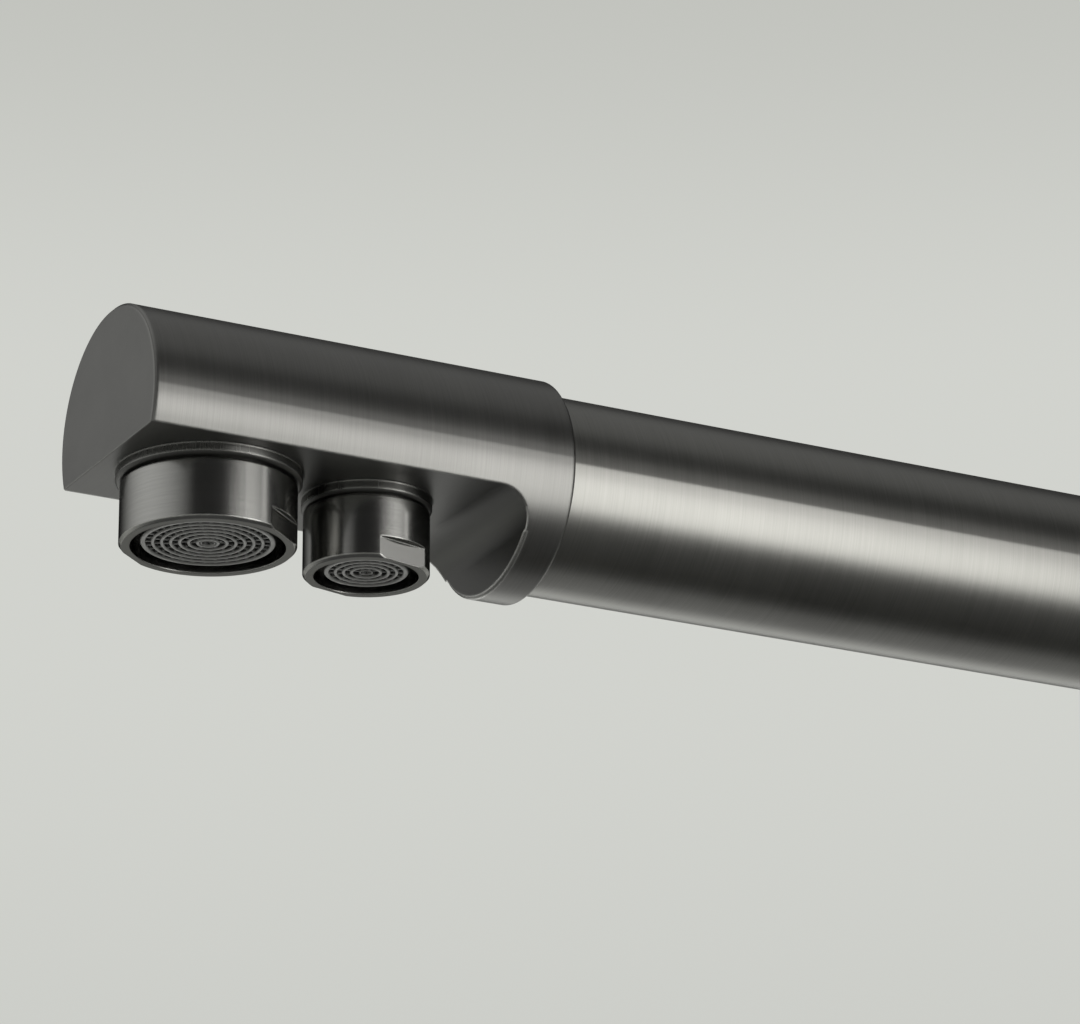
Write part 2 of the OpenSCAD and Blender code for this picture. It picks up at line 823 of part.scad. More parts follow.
module swivel_cover() {
    color(gunmetal)
        difference() {
            turned(cover_z, cover_z + cover_h, body_r, body_edge);
            post(cover_z - over, cover_z + cover_h + over, tube_r + thread_gap);
        }
}

// Spout

module spout_tube() {
    color(gunmetal)
        difference() {
            along_spout(tube_z, head_rear_y + tube_seat, tube_r);
            along_spout(tube_z - over, head_rear_y + tube_seat + over, tube_in);
        }
}

module inner_tube() {
    color(plastic)
        difference() {
            along_spout(inner_z, tip_y - inner_end_at, inner_r);
            along_spout(inner_z - over, tip_y - inner_end_at + over,
                inner_r - inner_tube_wall);
        }
}

// The space under the head's flat, with the fillet at its inner end
module head_cut() {
    side_outline(head_r * 2 + over) {
        translate([-over, -head_r - over])
            square([cut_end - cut_fillet + over, head_r + over - flat_drop]);
        translate([-over, -head_r - over])
            square([cut_end + over, head_r + over - flat_drop - cut_fillet]);
        translate([cut_end - cut_fillet, -flat_drop - cut_fillet])
            circle(r = cut_fillet);
    }
}

// The small chamfer on the front edge of the round collar, below the fillet
module collar_chamfer() {
    intersection() {
        translate([0, cut_end, 0])
            rotate([-90, 0, 0])
                rotate_extrude()
                    polygon([
                        [head_r + over, -over],
                        [head_r + over, head_edge + over],
                        [head_r - head_edge - over, -over]
                    ]);
        translate([-head_r - over, cut_end - over, -head_r - over])
            cube([(head_r + over) * 2, collar_len,
                head_r + over - flat_drop - cut_fillet]);
    }
}

// The collar and threaded nipple of one outlet
module nipple(collar_d, thread_d, end) {
    translate([0, 0, -flat_drop - collar_h])
        turned(0, flat_drop + collar_h, collar_d / 2, head_edge);
    post(-end, 0, thread_d / 2);
}

module spout_head() {
    color(gunmetal)
        on_head()
            difference() {
                union() {
                    difference() {
                        rotate([-90, 0, 0])
                            turned(0, head_len, head_r, head_edge);
                        head_cut();
                        collar_chamfer();
                    }
                    lying(seat_at - over, plug_at, plug_r);
                    translate([0, main_from_tip, 0])
                        nipple(main_collar_d, main_thread_d, main_nipple_end);
                    translate([0, filter_from_tip, 0])
                        nipple(filter_collar_d, filter_thread_d, filter_nipple_end);
                }
                difference() {
                    lying(seat_at, head_len + over, tube_r + thread_gap);
                    lying(seat_at - over, head_len + over * 2, plug_r);
                }
                difference() {
                    lying(head_groove_at - head_groove_w / 2,
                        head_groove_at + head_groove_w / 2, plug_r + over);
                    lying(head_groove_at - head_groove_w,
                        head_groove_at + head_groove_w, plug_r - head_groove_depth);
                }
                for (turn = [-head_channel_turn, 0, head_channel_turn])
                    rotate([0, turn, 0])
                        translate([0, 0, head_channel_out])
                            lying(main_from_tip, plug_at + over, head_channel_d / 2);
                translate([0, main_from_tip, 0])
                    post(-main_nipple_end - over, head_channel_out, main_bore_d / 2);
                translate([0, filter_from_tip, 0])
                    post(-filter_nipple_end - over, 0, filter_bore_d / 2);
                lying(filter_from_tip, plug_at + over, inner_r - inner_tube_wall);
                lying(inner_end_at, plug_at + over, inner_r + thread_gap);
            }
}

module head_o_ring() {
    color(rubber)
        on_head()
            translate([0, head_groove_at, 0])
                rotate([-90, 0, 0])
                    o_ring(-head_groove_w / 2, head_groove_w / 2,
                        plug_r - head_groove_depth, tube_in);
}

// Aerators

// A shell with a lip at its lower end and two spanner flats
module aerator_shell(shell_d, thread_d, drop, flats, flats_turn) {
    shell_r = shell_d / 2;
    shell_top = -flat_drop - collar_h - shell_gap;
    difference() {
        rotate_extrude()
            polygon([
                [0, -drop],
                [shell_r - shell_edge, -drop],
                [shell_r, -drop + shell_edge],
                [shell_r, shell_top],
                [0, shell_top]
            ]);
        post(-drop - over, shell_top + over, shell_r - rim_w);
        post(-drop + flats_h + insert_wall, shell_top + over, thread_d / 2 + thread_gap);
        rotate([0, 0, flats_turn])
            for (side = [0, 180])
                rotate([0, 0, side])
                    translate([flats / 2, -shell_r, -drop - over])
                        cube([shell_r, shell_d, flats_h + over]);
    }
}

// A plastic cup whose face is a set of round ribs, held by thin bars behind them
module aerator_insert(shell_d, thread_d, drop) {
    cup_r = shell_d / 2 - rim_w - insert_gap;
    face_z = -drop + insert_recess;
    flange_z = -drop + flats_h + insert_wall;
    flange_r = thread_d / 2 - thread_gap;
    rotate_extrude()
        polygon([
            [cup_r - insert_wall, face_z],
            [cup_r, face_z],
            [cup_r, flange_z],
            [flange_r, flange_z],
            [flange_r, flange_z + insert_wall],
            [cup_r - insert_wall, flange_z + insert_wall]
        ]);
    for (r = [cup_r - rib_pitch : -rib_pitch : rib_pitch])
        ring(face_z, face_z + insert_face, r, r - insert_wall);
    post(face_z, face_z + insert_face, insert_wall * insert_boss_share);
    for (turn = [0, 60, 120])
        rotate([0, 0, turn])
            translate([insert_wall / 2 - cup_r, -insert_wall / 2,
                face_z + insert_face / 2])
                cube([cup_r * 2 - insert_wall, insert_wall, insert_face]);
}

// Height of the insert's upper face below the arm's axis, as a negative height
function insert_top(drop) = -drop + flats_h + insert_wall * 2;

module main_aerator_shell() {
    color(gunmetal)
        on_head()
            translate([0, main_from_tip, 0])
                aerator_shell(main_shell_d, main_thread_d, main_drop,
                    main_flats, main_flats_turn);
}

module main_aerator_insert() {
    color(dark_plastic)
        on_head()
            translate([0, main_from_tip, 0])
                aerator_insert(main_shell_d, main_thread_d, main_drop);
}

module main_aerator_screen() {
    color(steel)
        on_head()
            translate([0, main_from_tip, 0])
                post(insert_top(main_drop), insert_top(main_drop) + screen_t,
                    main_bore_d / 2);
}

module main_aerator_washer() {
    color(rubber)
        on_head()
            translate([0, main_from_tip, 0])
                ring(-main_nipple_end - washer_t, -main_nipple_end,
                    main_thread_d / 2 - thread_gap, main_bore_d / 2);
}

module filter_aerator_shell() {
    color(gunmetal)
        on_head()
            translate([0, filter_from_tip, 0])
                aerator_shell(filter_shell_d, filter_thread_d, filter_drop,
                    filter_flats, filter_flats_turn);
}

module filter_aerator_insert() {
    color(dark_plastic)
        on_head()
            translate([0, filter_from_tip, 0])
                aerator_insert(filter_shell_d, filter_thread_d, filter_drop);
}

module filter_aerator_washer() {
    color(rubber)
        on_head()
            translate([0, filter_from_tip, 0])
                ring(-filter_nipple_end - washer_t, -filter_nipple_end,
                    filter_thread_d / 2 - thread_gap, filter_bore_d / 2);
}

// Cartridge

// The two inlets and the outlet through a cartridge piece
module port_cuts(z0, z1, r) {
    for (side = [-1, 1])
        translate([-inlet_up, side * inlet_y, 0])
            post(z0, z1, r);
    translate([outlet_down, 0, 0])
        post(z0, z1, r);
}

module cartridge_base() {
    color(dark_plastic)
        on_mixer_side()
            difference() {
                union() {
                    post(base_lift, base_h, cartridge_r);
                    for (side = [-1, 1])
                        translate([peg_x, side * peg_y, 0])
                            post(-peg_h, base_h, peg_d / 2);
                }
                port_cuts(-over, base_h + over, disc_port_d / 2);
                port_cuts(-over, seal_ring_h, seal_ring_r + slide_gap);
            }
}

module cartridge_seals() {
    color(rubber)
        on_mixer_side()
            difference() {
                port_cuts(0, seal_ring_h, seal_ring_r);
                port_cuts(-over, seal_ring_h + over, disc_port_d / 2);
            }
}

module fixed_disc() {
    color(ceramic)
        on_mixer_side()
            difference() {
                post(base_h, base_h + disc_h, fixed_disc_d / 2);
                port_cuts(base_h - over, base_h + disc_h + over, disc_port_d / 2);
            }
}

module moving_disc() {
    color(ceramic)
        on_mixer_side()
            difference() {
                translate([disc_rest, 0, 0])
                    post(moving_z, moving_z + disc_h, moving_disc_d / 2);
                intersection() {
                    translate([disc_rest, 0, 0])
                        post(moving_z - over, moving_z + disc_h / 2,
                            moving_disc_d / 2 - insert_wall * 2);
                    translate([-inlet_up + disc_port_d / 2 + insert_wall,
                        -moving_disc_d / 2, moving_z - over])
                        cube([moving_disc_d, moving_disc_d, disc_h + over]);
                }
            }
}

module disc_driver() {
    color(dark_plastic)
        on_mixer_side()
            difference() {
                intersection() {
                    translate([disc_rest, 0, 0])
                        post(driver_z, driver_z + driver_h, moving_disc_d / 2);
                    translate([disc_rest - moving_disc_d / 2, -driver_w / 2, driver_z])
                        cube([moving_disc_d, driver_w, driver_h]);
                }
                translate([-slot_half, -slot_half, driver_z - over])
                    cube([slot_half * 2, slot_half * 2, driver_h + over * 2]);
            }
}

module cartridge_housing() {
    color(dark_plastic)
        on_mixer_side()
            difference() {
                union() {
                    post(base_h, shoulder_h, cartridge_r);
                    post(base_h, housing_top, housing_d / 2);
                }
                post(base_h - over, lip_z, housing_in);
                post(base_h, housing_top + over, neck_d / 2 + turn_gap);
            }
}

module cartridge_nut() {
    color(brass)
        on_mixer_side()
            difference() {
                ring(shoulder_h, ring_nut_top, ring_nut_d / 2, housing_d / 2 + thread_gap);
                for (turn = [0, 90])
                    rotate([0, 0, turn])
                        translate([-ring_nut_d, -grub_d / 2, ring_nut_top - ring_nut_h / 3])
                            cube([ring_nut_d * 2, grub_d, ring_nut_h]);
            }
}

module cartridge_carrier() {
    channel_half = driver_w / 2 + move_gap;
    stem_slot = stem_half + move_gap;
    color(plastic)
        on_mixer_side()
            difference() {
                union() {
                    post(carrier_z, carrier_top, housing_in - turn_gap);
                    post(carrier_top - over, neck_top, neck_d / 2);
                }
                translate([-housing_in_d, -channel_half, carrier_z - over])
                    cube([housing_in_d * 2, channel_half * 2,
                        driver_h + slide_gap + over]);
                translate([-slot_in, -stem_slot, carrier_z])
                    cube([slot_in + slot_back, stem_slot * 2, pivot_z - carrier_z]);
                translate([-slot_back, -stem_slot, pivot_z - over])
                    cube([slot_out + slot_back, stem_slot * 2, neck_top - pivot_z + over * 2]);
                translate([0, 0, pivot_z])
                    lying(-housing_in_d, housing_in_d, pin_d / 2);
            }
}

module pivot_pin() {
    color(steel)
        on_mixer_side()
            translate([0, 0, pivot_z])
                lying(-housing_in + insert_wall, housing_in - insert_wall, pin_d / 2);
}

module lever_stem() {
    color(steel)
        on_mixer_side()
            difference() {
                union() {
                    bar(waist_top, stem_top, stem_w);
                    post(ball_z, waist_top + over, waist_d / 2);
                    translate([0, 0, ball_z])
                        sphere(d = ball_d);
                }
                translate([0, 0, pivot_z])
                    lying(-stem_w, stem_w, pin_d / 2 + turn_gap);
            }
}

module mixer_dome() {
    color(gunmetal)
        on_mixer_side()
            difference() {
                union() {
                    intersection() {
                        translate([0, 0, pivot_z])
                            sphere(r = boss_r);
                        post(pivot_z, pivot_z + boss_r, boss_r);
                    }
                    post(ring_nut_top + slide_gap, pivot_z + over, skirt_r);
                }
                translate([0, 0, pivot_z])
                    sphere(r = dome_in);
                post(ring_nut_top - over, pivot_z, dome_in);
                post(pivot_z, pivot_z + boss_r + over, dome_hole_d / 2);
            }
}

// Levers

// The cuts for a rod's threaded end: the rod points along +X of its own place
module rod_cuts(seat_r, rod_d) {
    rotate([0, 90, 0]) {
        post(seat_r, seat_r + rod_seat + over, rod_d / 2 + thread_gap);
        post(seat_r - rod_end_len, seat_r + over, rod_end_d / 2 + thread_gap);
    }
}

// A rod with its threaded end
module lever_rod(seat_r, rod_d, length) {
    rotate([0, 90, 0]) {
        turned(seat_r, seat_r + rod_seat + length, rod_d / 2, hub_edge);
        post(seat_r - rod_end_len + move_gap, seat_r + over, rod_end_d / 2);
    }
}

// The hole of a grub screw, widened for its plug, along +X of its own place
module grub_cuts(from, surface) {
    rotate([0, 90, 0]) {
        post(from, surface + over, grub_hole_r);
        post(surface - plug_t - move_gap, surface + over, plug_hole_r);
    }
}

// A grub screw that bears on what lies at from
module grub_screw(from) {
    rotate([0, 90, 0])
        difference() {
            post(from, from + grub_len, grub_d / 2);
            hexagon(from + grub_len / 2, from + grub_len + over, grub_key);
        }
}

// A plug that closes a grub screw's hole at the surface
module grub_plug(surface) {
    rotate([0, 90, 0])
        post(surface - plug_t, surface - plug_sink, plug_d / 2);
}

module mixer_hub() {
    color(gunmetal)
        on_mixer_side()
            difference() {
                turned(pivot_z + hub_rim, pivot_z + hub_end, boss_r, hub_edge);
                translate([0, 0, pivot_z])
                    sphere(r = hub_in);
                bar(pivot_z, stem_top + slide_gap, stem_w + slide_gap * 2);
                translate([0, 0, mixer_rod_z])
                    mirror([1, 0, 0])
                        rod_cuts(mixer_rod_in, mixer_rod_d);
                translate([0, 0, mixer_rod_z])
                    grub_cuts(0, boss_r);
            }
}

module mixer_rod() {
    color(gunmetal)
        on_mixer_side()
            translate([0, 0, mixer_rod_z])
                mirror([1, 0, 0])
                    lever_rod(mixer_rod_in, mixer_rod_d, mixer_rod_len);
}

module mixer_grub_screw() {
    color(steel)
        on_mixer_side()
            translate([0, 0, mixer_rod_z])
                grub_screw(stem_half);
}

module mixer_plug() {
    color(dark_plastic)
        on_mixer_side()
            translate([0, 0, mixer_rod_z])
                grub_plug(boss_r - plug_curve(boss_r));
}

// Drop of a round surface at the edge of a plug
function plug_curve(r) = r - sqrt(r * r - plug_d * plug_d / 4);

// Filter valve

module headwork() {
    color(brass)
        on_filter_side()
            difference() {
                union() {
                    post(seal_h * 3 / 4, headwork_len, nose_d / 2);
                    post(nose_len, collar_ring_z, headwork_d / 2);
                    hexagon(headwork_len, headwork_len + headwork_collar_h,
                        headwork_flats);
                    post(headwork_len - over, valve_neck_top, valve_neck_d / 2);
                }
                post(0, nose_len, valve_in);
                post(0, valve_neck_top + over, spindle_d / 2 + turn_gap);
                translate([-headwork_d, -valve_disc_h, foot_z + foot_h])
                    cube([headwork_d * 2, valve_disc_h * 2, window_h - slide_gap]);
            }
}

module headwork_o_ring() {
    color(rubber)
        on_filter_side()
            o_ring(collar_ring_z, headwork_len, collar_ring_in, collar_ring_d / 2);
}

module seat_seal() {
    color(rubber)
        on_filter_side()
            ring(0, seal_h, seal_d / 2, seal_bore_d / 2);
}

// A ceramic disc with a quarter opened on two opposite sides
module quarter_disc(z0, turn) {
    difference() {
        post(z0, z0 + valve_disc_h, valve_disc_d / 2);
        rotate([0, 0, turn])
            for (side = [0, 180])
                rotate([0, 0, side])
                    rotate_extrude(angle = quarter_open)
                        translate([insert_wall, z0 - over])
                            square([valve_disc_d / 2 - insert_wall * 3,
                                valve_disc_h + over * 2]);
    }
}

module filter_fixed_disc() {
    color(ceramic)
        on_filter_side()
            quarter_disc(seal_h, 0);
}

module filter_turning_disc() {
    color(ceramic)
        on_filter_side()
            quarter_disc(turning_z, 90);
}

module spindle() {
    color(brass)
        on_filter_side()
            difference() {
                union() {
                    post(foot_z, foot_z + foot_h, valve_disc_d / 2);
                    post(foot_z, spline_z, spindle_d / 2);
                    post(spline_z - over, spline_top, spline_d / 2);
                }
                for (z = [spindle_ring_1, spindle_ring_2])
                    ring(z, z + spindle_groove_w,
                        spindle_d, spindle_d / 2 - spindle_groove);
                ring(clip_z, clip_z + clip_t, spindle_d, spindle_d / 2 - spindle_groove);
                rotate([0, 0, 90])
                    for (side = [0, 180])
                        rotate([0, 0, side])
                            rotate_extrude(angle = quarter_open)
                                translate([spindle_d / 2 + insert_wall, foot_z - over])
                                    square([valve_disc_d, foot_h + over * 2]);
            }
}

module spindle_o_rings() {
    color(rubber)
        on_filter_side()
            for (z = [spindle_ring_1, spindle_ring_2])
                o_ring(z, z + spindle_groove_w,
                    spindle_d / 2 - spindle_groove, spindle_d / 2);
}

module spindle_clip() {
    color(steel)
        on_filter_side()
            difference() {
                ring(clip_z, clip_z + clip_t, clip_d / 2, spindle_d / 2 - spindle_groove);
                translate([0, -spindle_groove, clip_z - over])
                    cube([clip_d, spindle_groove * 2, clip_t + over * 2]);
            }
}

module filter_hub() {
    color(gunmetal)
        on_filter_side()
            difference() {
                turned(filter_hub_z, filter_hub_top, filter_boss_r, hub_edge);
                post(filter_hub_z - over, spline_z, filter_hollow_r);
                post(filter_hub_z - over, spline_top, spline_d / 2 + thread_gap);
                translate([0, 0, filter_rod_z])
                    rod_cuts(filter_rod_in, filter_rod_d);
                translate([0, 0, filter_rod_z])
                    mirror([1, 0, 0])
                        grub_cuts(0, filter_boss_r);
            }
}

module filter_rod() {
    color(gunmetal)
        on_filter_side()
            translate([0, 0, filter_rod_z])
                lever_rod(filter_rod_in, filter_rod_d, filter_rod_len);
}

module filter_grub_screw() {
    color(steel)
        on_filter_side()
            translate([0, 0, filter_rod_z])
                mirror([1, 0, 0])
                    grub_screw(spline_d / 2);
}

module filter_plug() {
    color(dark_plastic)
        on_filter_side()
            translate([0, 0, filter_rod_z])
                mirror([1, 0, 0])
                    grub_plug(filter_boss_r - plug_curve(filter_boss_r));
}

base_flange();
base_gasket();
tap_body();
swivel_bush();
riser_o_ring();
swivel_stop_screw();
shank();
rubber_washer();
steel_washer();
lock_nut();
cartridge_base();
cartridge_seals();
fixed_disc();
cartridge_housing();
cartridge_nut();
mixer_dome();
cartridge_carrier();
pivot_pin();
moving_disc();
disc_driver();
lever_stem();
mixer_hub();
mixer_rod();
mixer_grub_screw();
mixer_plug();
headwork();
headwork_o_ring();
seat_seal();
filter_fixed_disc();
filter_turning_disc();
spindle();
spindle_o_rings();
spindle_clip();
filter_hub();
filter_rod();
filter_grub_screw();
filter_plug();
swivel_cover();
spigot();
spigot_o_rings();
slide_ring();
spout_tube();
inner_tube();
spout_head();
head_o_ring();
main_aerator_washer();
main_aerator_screen();
main_aerator_insert();
main_aerator_shell();
filter_aerator_washer();
filter_aerator_insert();
filter_aerator_shell();
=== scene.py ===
# Three-way kitchen mixer tap in brushed gunmetal, put together from the worktop up to the outlets.
# All sizes are in metres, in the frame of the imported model: the worktop is at zero, the spout
# points along -Y, the mixer lever is on +X and the filtered water lever is on -X.
import math

import bpy
from mathutils import Matrix, Vector


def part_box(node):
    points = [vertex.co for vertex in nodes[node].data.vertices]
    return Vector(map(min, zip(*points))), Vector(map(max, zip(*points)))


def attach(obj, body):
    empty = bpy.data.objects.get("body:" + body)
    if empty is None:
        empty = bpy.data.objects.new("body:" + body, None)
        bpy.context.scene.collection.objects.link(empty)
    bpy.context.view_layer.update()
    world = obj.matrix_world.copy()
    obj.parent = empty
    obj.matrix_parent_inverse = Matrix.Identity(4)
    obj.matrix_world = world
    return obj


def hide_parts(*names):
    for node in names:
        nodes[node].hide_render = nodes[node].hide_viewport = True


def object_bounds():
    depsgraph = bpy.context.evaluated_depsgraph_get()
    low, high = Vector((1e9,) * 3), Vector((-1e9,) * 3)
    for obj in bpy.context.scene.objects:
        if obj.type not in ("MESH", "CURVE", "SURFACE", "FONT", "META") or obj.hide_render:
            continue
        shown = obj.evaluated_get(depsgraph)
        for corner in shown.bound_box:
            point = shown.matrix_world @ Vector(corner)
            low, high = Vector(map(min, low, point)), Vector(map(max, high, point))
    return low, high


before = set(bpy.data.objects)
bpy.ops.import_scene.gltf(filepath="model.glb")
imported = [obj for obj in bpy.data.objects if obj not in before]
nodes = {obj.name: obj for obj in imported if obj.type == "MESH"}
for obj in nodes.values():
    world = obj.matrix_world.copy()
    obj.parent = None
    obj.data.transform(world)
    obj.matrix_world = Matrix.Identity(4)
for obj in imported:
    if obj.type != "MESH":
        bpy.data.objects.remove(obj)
cad_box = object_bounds()
MM = 0.001

# Threaded shank. The real piece is a drawn brass tube with a thread cut along its outside; it
# screws into the body from below and the three hoses pass through it. The thread is turned here
# as rings from the tube's outline, over the place where the worktop is clamped.
relief_h = 0.1 * MM
BRASS = (0.72, 0.55, 0.27)
# Near-white colour of the painted highlight on the chamfer at the head's wall.
PAINTED_HIGHLIGHT_WHITE = (0.85, 0.85, 0.83, 1.0)


def adder(tree):
    """A way to add nodes to a tree: inputs are constants or the outputs of other nodes."""
    def add(kind, inputs=(), **settings):
        node = tree.nodes.new(kind)
        for key, value in settings.items():
            setattr(node, key, value)
        for socket, value in dict(inputs).items():
            if isinstance(value, bpy.types.NodeSocket):
                tree.links.new(value, node.inputs[socket])
            else:
                node.inputs[socket].default_value = value
        return node

    return add


def shader(name):
    """A new node material with its shader, a way to add nodes and a way to link them to it."""
    material = bpy.data.materials.new(name)
    material.use_nodes = True
    tree = material.node_tree
    principled = tree.nodes["Principled BSDF"]

    def link(output, socket):
        tree.links.new(output, principled.inputs[socket])

    return material, principled, adder(tree), link


def maths(add, kind, *values, **settings):
    """A sum, a product or a comparison of two or three numbers."""
    return add("ShaderNodeMath", enumerate(values), operation=kind, **settings).outputs[0]


def vectors(add, kind, *values):
    """A sum or product of vectors, or the number that a length or a dot product is."""
    node = add("ShaderNodeVectorMath", enumerate(values), operation=kind)
    return node.outputs["Value" if kind in ("DOT_PRODUCT", "LENGTH") else "Vector"]


def scaled(add, vector, share):
    """A vector or a colour times a number."""
    return add("ShaderNodeVectorMath", {0: vector, "Scale": share}, operation="SCALE").outputs[0]


def stretch(add, value, low, high, first=0.0, last=1.0, **settings):
    """A number that runs from first, where a value is at low, to last, where it is at high."""
    return add("ShaderNodeMapRange", {"Value": value, "From Min": low, "From Max": high,
                                      "To Min": first, "To Max": last}, **settings).outputs[0]


def blend(add, mask, black, white):
    """One colour where the mask is black and another where it is white."""
    return add("ShaderNodeMix", {"Factor": mask, "A": black, "B": white},
               data_type="RGBA").outputs["Result"]


def noise(add, place, scale, detail, roughness=0.5):
    """An uneven pattern over a place."""
    return add("ShaderNodeTexNoise", {"Vector": place, "Scale": scale, "Detail": detail,
                                      "Roughness": roughness}).outputs[0]


def relief(add, height, strength, normal):
    """A normal with a fine relief on it."""
    return add("ShaderNodeBump", {"Height": height, "Strength": strength, "Distance": relief_h,
                                  "Normal": normal}).outputs[0]


def on_piece(add, what="Object"):
    """The place of a point on its piece, or with Normal the way that it faces.

    In the world, which has no pieces, Generated is the direction that is looked in.
    """
    return add("ShaderNodeTexCoord").outputs[what]


def split(add, vector):
    """The X, Y and Z of a vector."""
    return tuple(add("ShaderNodeSeparateXYZ", {"Vector": vector}).outputs)


def joined(add, x, y, z):
    """A vector of three numbers."""
    return add("ShaderNodeCombineXYZ", {"X": x, "Y": y, "Z": z}).outputs[0]


def tinted(colour, share):
    """A colour made darker or lighter."""
    return tuple(min(1.0, c * share) for c in colour) + (1.0,)


def paler(colour, share):
    """A colour taken a share of the way to white."""
    return tuple(c + (1.0 - c) * share for c in colour) + (1.0,)


def edge_mask(add, width):
    """White on the edges, where wear and a painted highlight go, black on the open face, and the
    rounded normal.
    """
    rounded = add("ShaderNodeBevel", {"Radius": width}, samples=6).outputs[0]
    flat = add("ShaderNodeNewGeometry").outputs["Normal"]
    meeting = vectors(add, "DOT_PRODUCT", rounded, flat)
    return stretch(add, meeting, 0.995, 0.90), rounded


def turned_metal(name, colour, place, roughness, grain=(60.0, 60.0, 9000.0), depth=0.05,
                 spread=0.07, edge=0.5 * MM, edge_light=0.25, finishes=(), painted_highlight=None,
                 glancing=1.0):
    """Machined or brushed metal: fine lines, slow changes of gloss, light edges of wear and
    painted highlight.

    place gives a place whose Z runs across the lines, and grain how fine they are each way.
    depth is how strong their relief is, and spread how far the roughness goes up and down.
    Each of the finishes is a mask, its share of the colour and what it adds to the roughness.
    The highlight mask marks edges painted with a near-white highlight, and glancing is the edge-on
    brightness.
    """
    material, principled, add, link = shader(name)
    principled.inputs["Metallic"].default_value = 1.0
    principled.inputs["Specular Tint"].default_value = (glancing, glancing, glancing, 1.0)
    where = place(add)
    lines = noise(add, vectors(add, "MULTIPLY", where, grain), 1.0, 5.0, 0.62)
    clouds = noise(add, where, 45.0, 4.0, 0.55)
    pores = noise(add, where, 2600.0, 2.0)
    line_gloss = stretch(add, lines, 0.25, 0.75, roughness - spread, roughness + spread)
    cloud_gloss = stretch(add, clouds, 0.3, 0.7, -0.3 * spread, 0.5 * spread)
    gloss = maths(add, "ADD", line_gloss, cloud_gloss, use_clamp=True)
    tone = blend(add, stretch(add, lines, 0.2, 0.8), tinted(colour, 0.86), tinted(colour, 1.12))
    toned = scaled(add, tone, stretch(add, clouds, 0.3, 0.7, 0.93, 1.05))
    edges, rounded = edge_mask(add, edge)
    # Edges lightened towards white, partly as wear and partly as a painted highlight.
    base = blend(add, maths(add, "MULTIPLY", edges, 0.6), toned, paler(colour, edge_light))
    for mask, share, added_roughness in finishes:
        finished = mask(add)
        base = blend(add, finished, base, tinted(colour, share))
        gloss = maths(add, "MULTIPLY_ADD", finished, added_roughness, gloss)
    # Painted highlight: on the masked edges the colour goes to near white.
    if painted_highlight:
        base = blend(add, maths(add, "MULTIPLY", edges, painted_highlight(add)), base, PAINTED_HIGHLIGHT_WHITE)
    link(base, "Base Color")
    link(gloss, "Roughness")
    link(relief(add, pores, depth * 0.5, relief(add, lines, depth, rounded)), "Normal")
    return material


def upright(add):
    """Lines that run round a piece turned about an upright axis, so they change along Z."""
    return on_piece(add)


def turned_about(add, axis, centre):
    """Lines that run round an axis, on the barrel and on its end faces: Z is length and radius."""
    moved = vectors(add, "SUBTRACT", on_piece(add), centre)
    along = vectors(add, "DOT_PRODUCT", moved, axis)
    out = vectors(add, "SUBTRACT", moved, scaled(add, axis, along))
    radius = vectors(add, "LENGTH", out)
    x, y, z = split(add, out)
    return joined(add, maths(add, "ADD", x, z), y, maths(add, "ADD", along, radius))


def round_column(add):
    """Lines round the tap's own upright axis."""
    return turned_about(add, (0.0, 0.0, 1.0), (0.0, 0.0, 0.0))


def dress(material, *names):
    """Gives CAD nodes their material, in every slot that they have."""
    for name in names:
        data = nodes[name].data
        data.materials.clear()
        data.materials.append(material)


def lathe(name, outline, centre=(0.0, 0.0, 0.0), steps=96):
    """Spins a closed outline of (radius, height) points about a vertical axis through centre."""
    # Corners closer than weld become one, and edges flatter than smooth_below don't show.
    weld = 1e-7
    smooth_below = math.radians(35)
    bpy.ops.object.select_all(action="DESELECT")
    bpy.ops.mesh.primitive_plane_add(size=MM, location=centre)
    piece = bpy.context.object
    piece.name = name
    piece.data.name = name
    bpy.ops.object.transform_apply(location=True, rotation=True, scale=True)
    bpy.ops.object.mode_set(mode="EDIT")
    bpy.ops.mesh.select_all(action="SELECT")
    bpy.ops.mesh.merge(type="CENTER")
    here = outline[0]
    bpy.ops.transform.translate(value=(here[0], 0.0, here[1]))
    for point in list(outline[1:]) + [outline[0]]:
        step = (point[0] - here[0], 0.0, point[1] - here[1])
        bpy.ops.mesh.extrude_region_move(TRANSFORM_OT_translate={"value": step})
        here = point
    bpy.ops.mesh.select_all(action="SELECT")
    bpy.ops.mesh.remove_doubles(threshold=weld)
    bpy.ops.mesh.spin(steps=steps, angle=2 * math.pi, center=centre, axis=(0.0, 0.0, 1.0))
    bpy.ops.mesh.select_all(action="SELECT")
    bpy.ops.mesh.remove_doubles(threshold=weld)
    bpy.ops.mesh.delete_loose()
    bpy.ops.mesh.select_all(action="SELECT")
    bpy.ops.mesh.normals_make_consistent(inside=False)
    bpy.ops.object.mode_set(mode="OBJECT")
    bpy.ops.object.shade_smooth_by_angle(angle=smooth_below)
    return piece


def hand_in(piece, body, slot, material, *replaced):
    """A finished piece gets its material, rides on its body and stands for its CAD nodes."""
    piece.data.materials.clear()
    piece.data.materials.append(material)
    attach(piece, body)
    if replaced:
        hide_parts(*replaced)


shank_low, shank_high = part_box("shank")
shank_r = shank_high.x
shank_wall = 2.6 * MM
shank_bore = shank_r - shank_wall
bore_chamfer = 0.3 * MM
shank_edge = 1.2 * MM
thread_pitch = 1.5 * MM
thread_depth = 0.8 * MM
thread_end = -0.5 * MM
root_r = shank_r - thread_depth
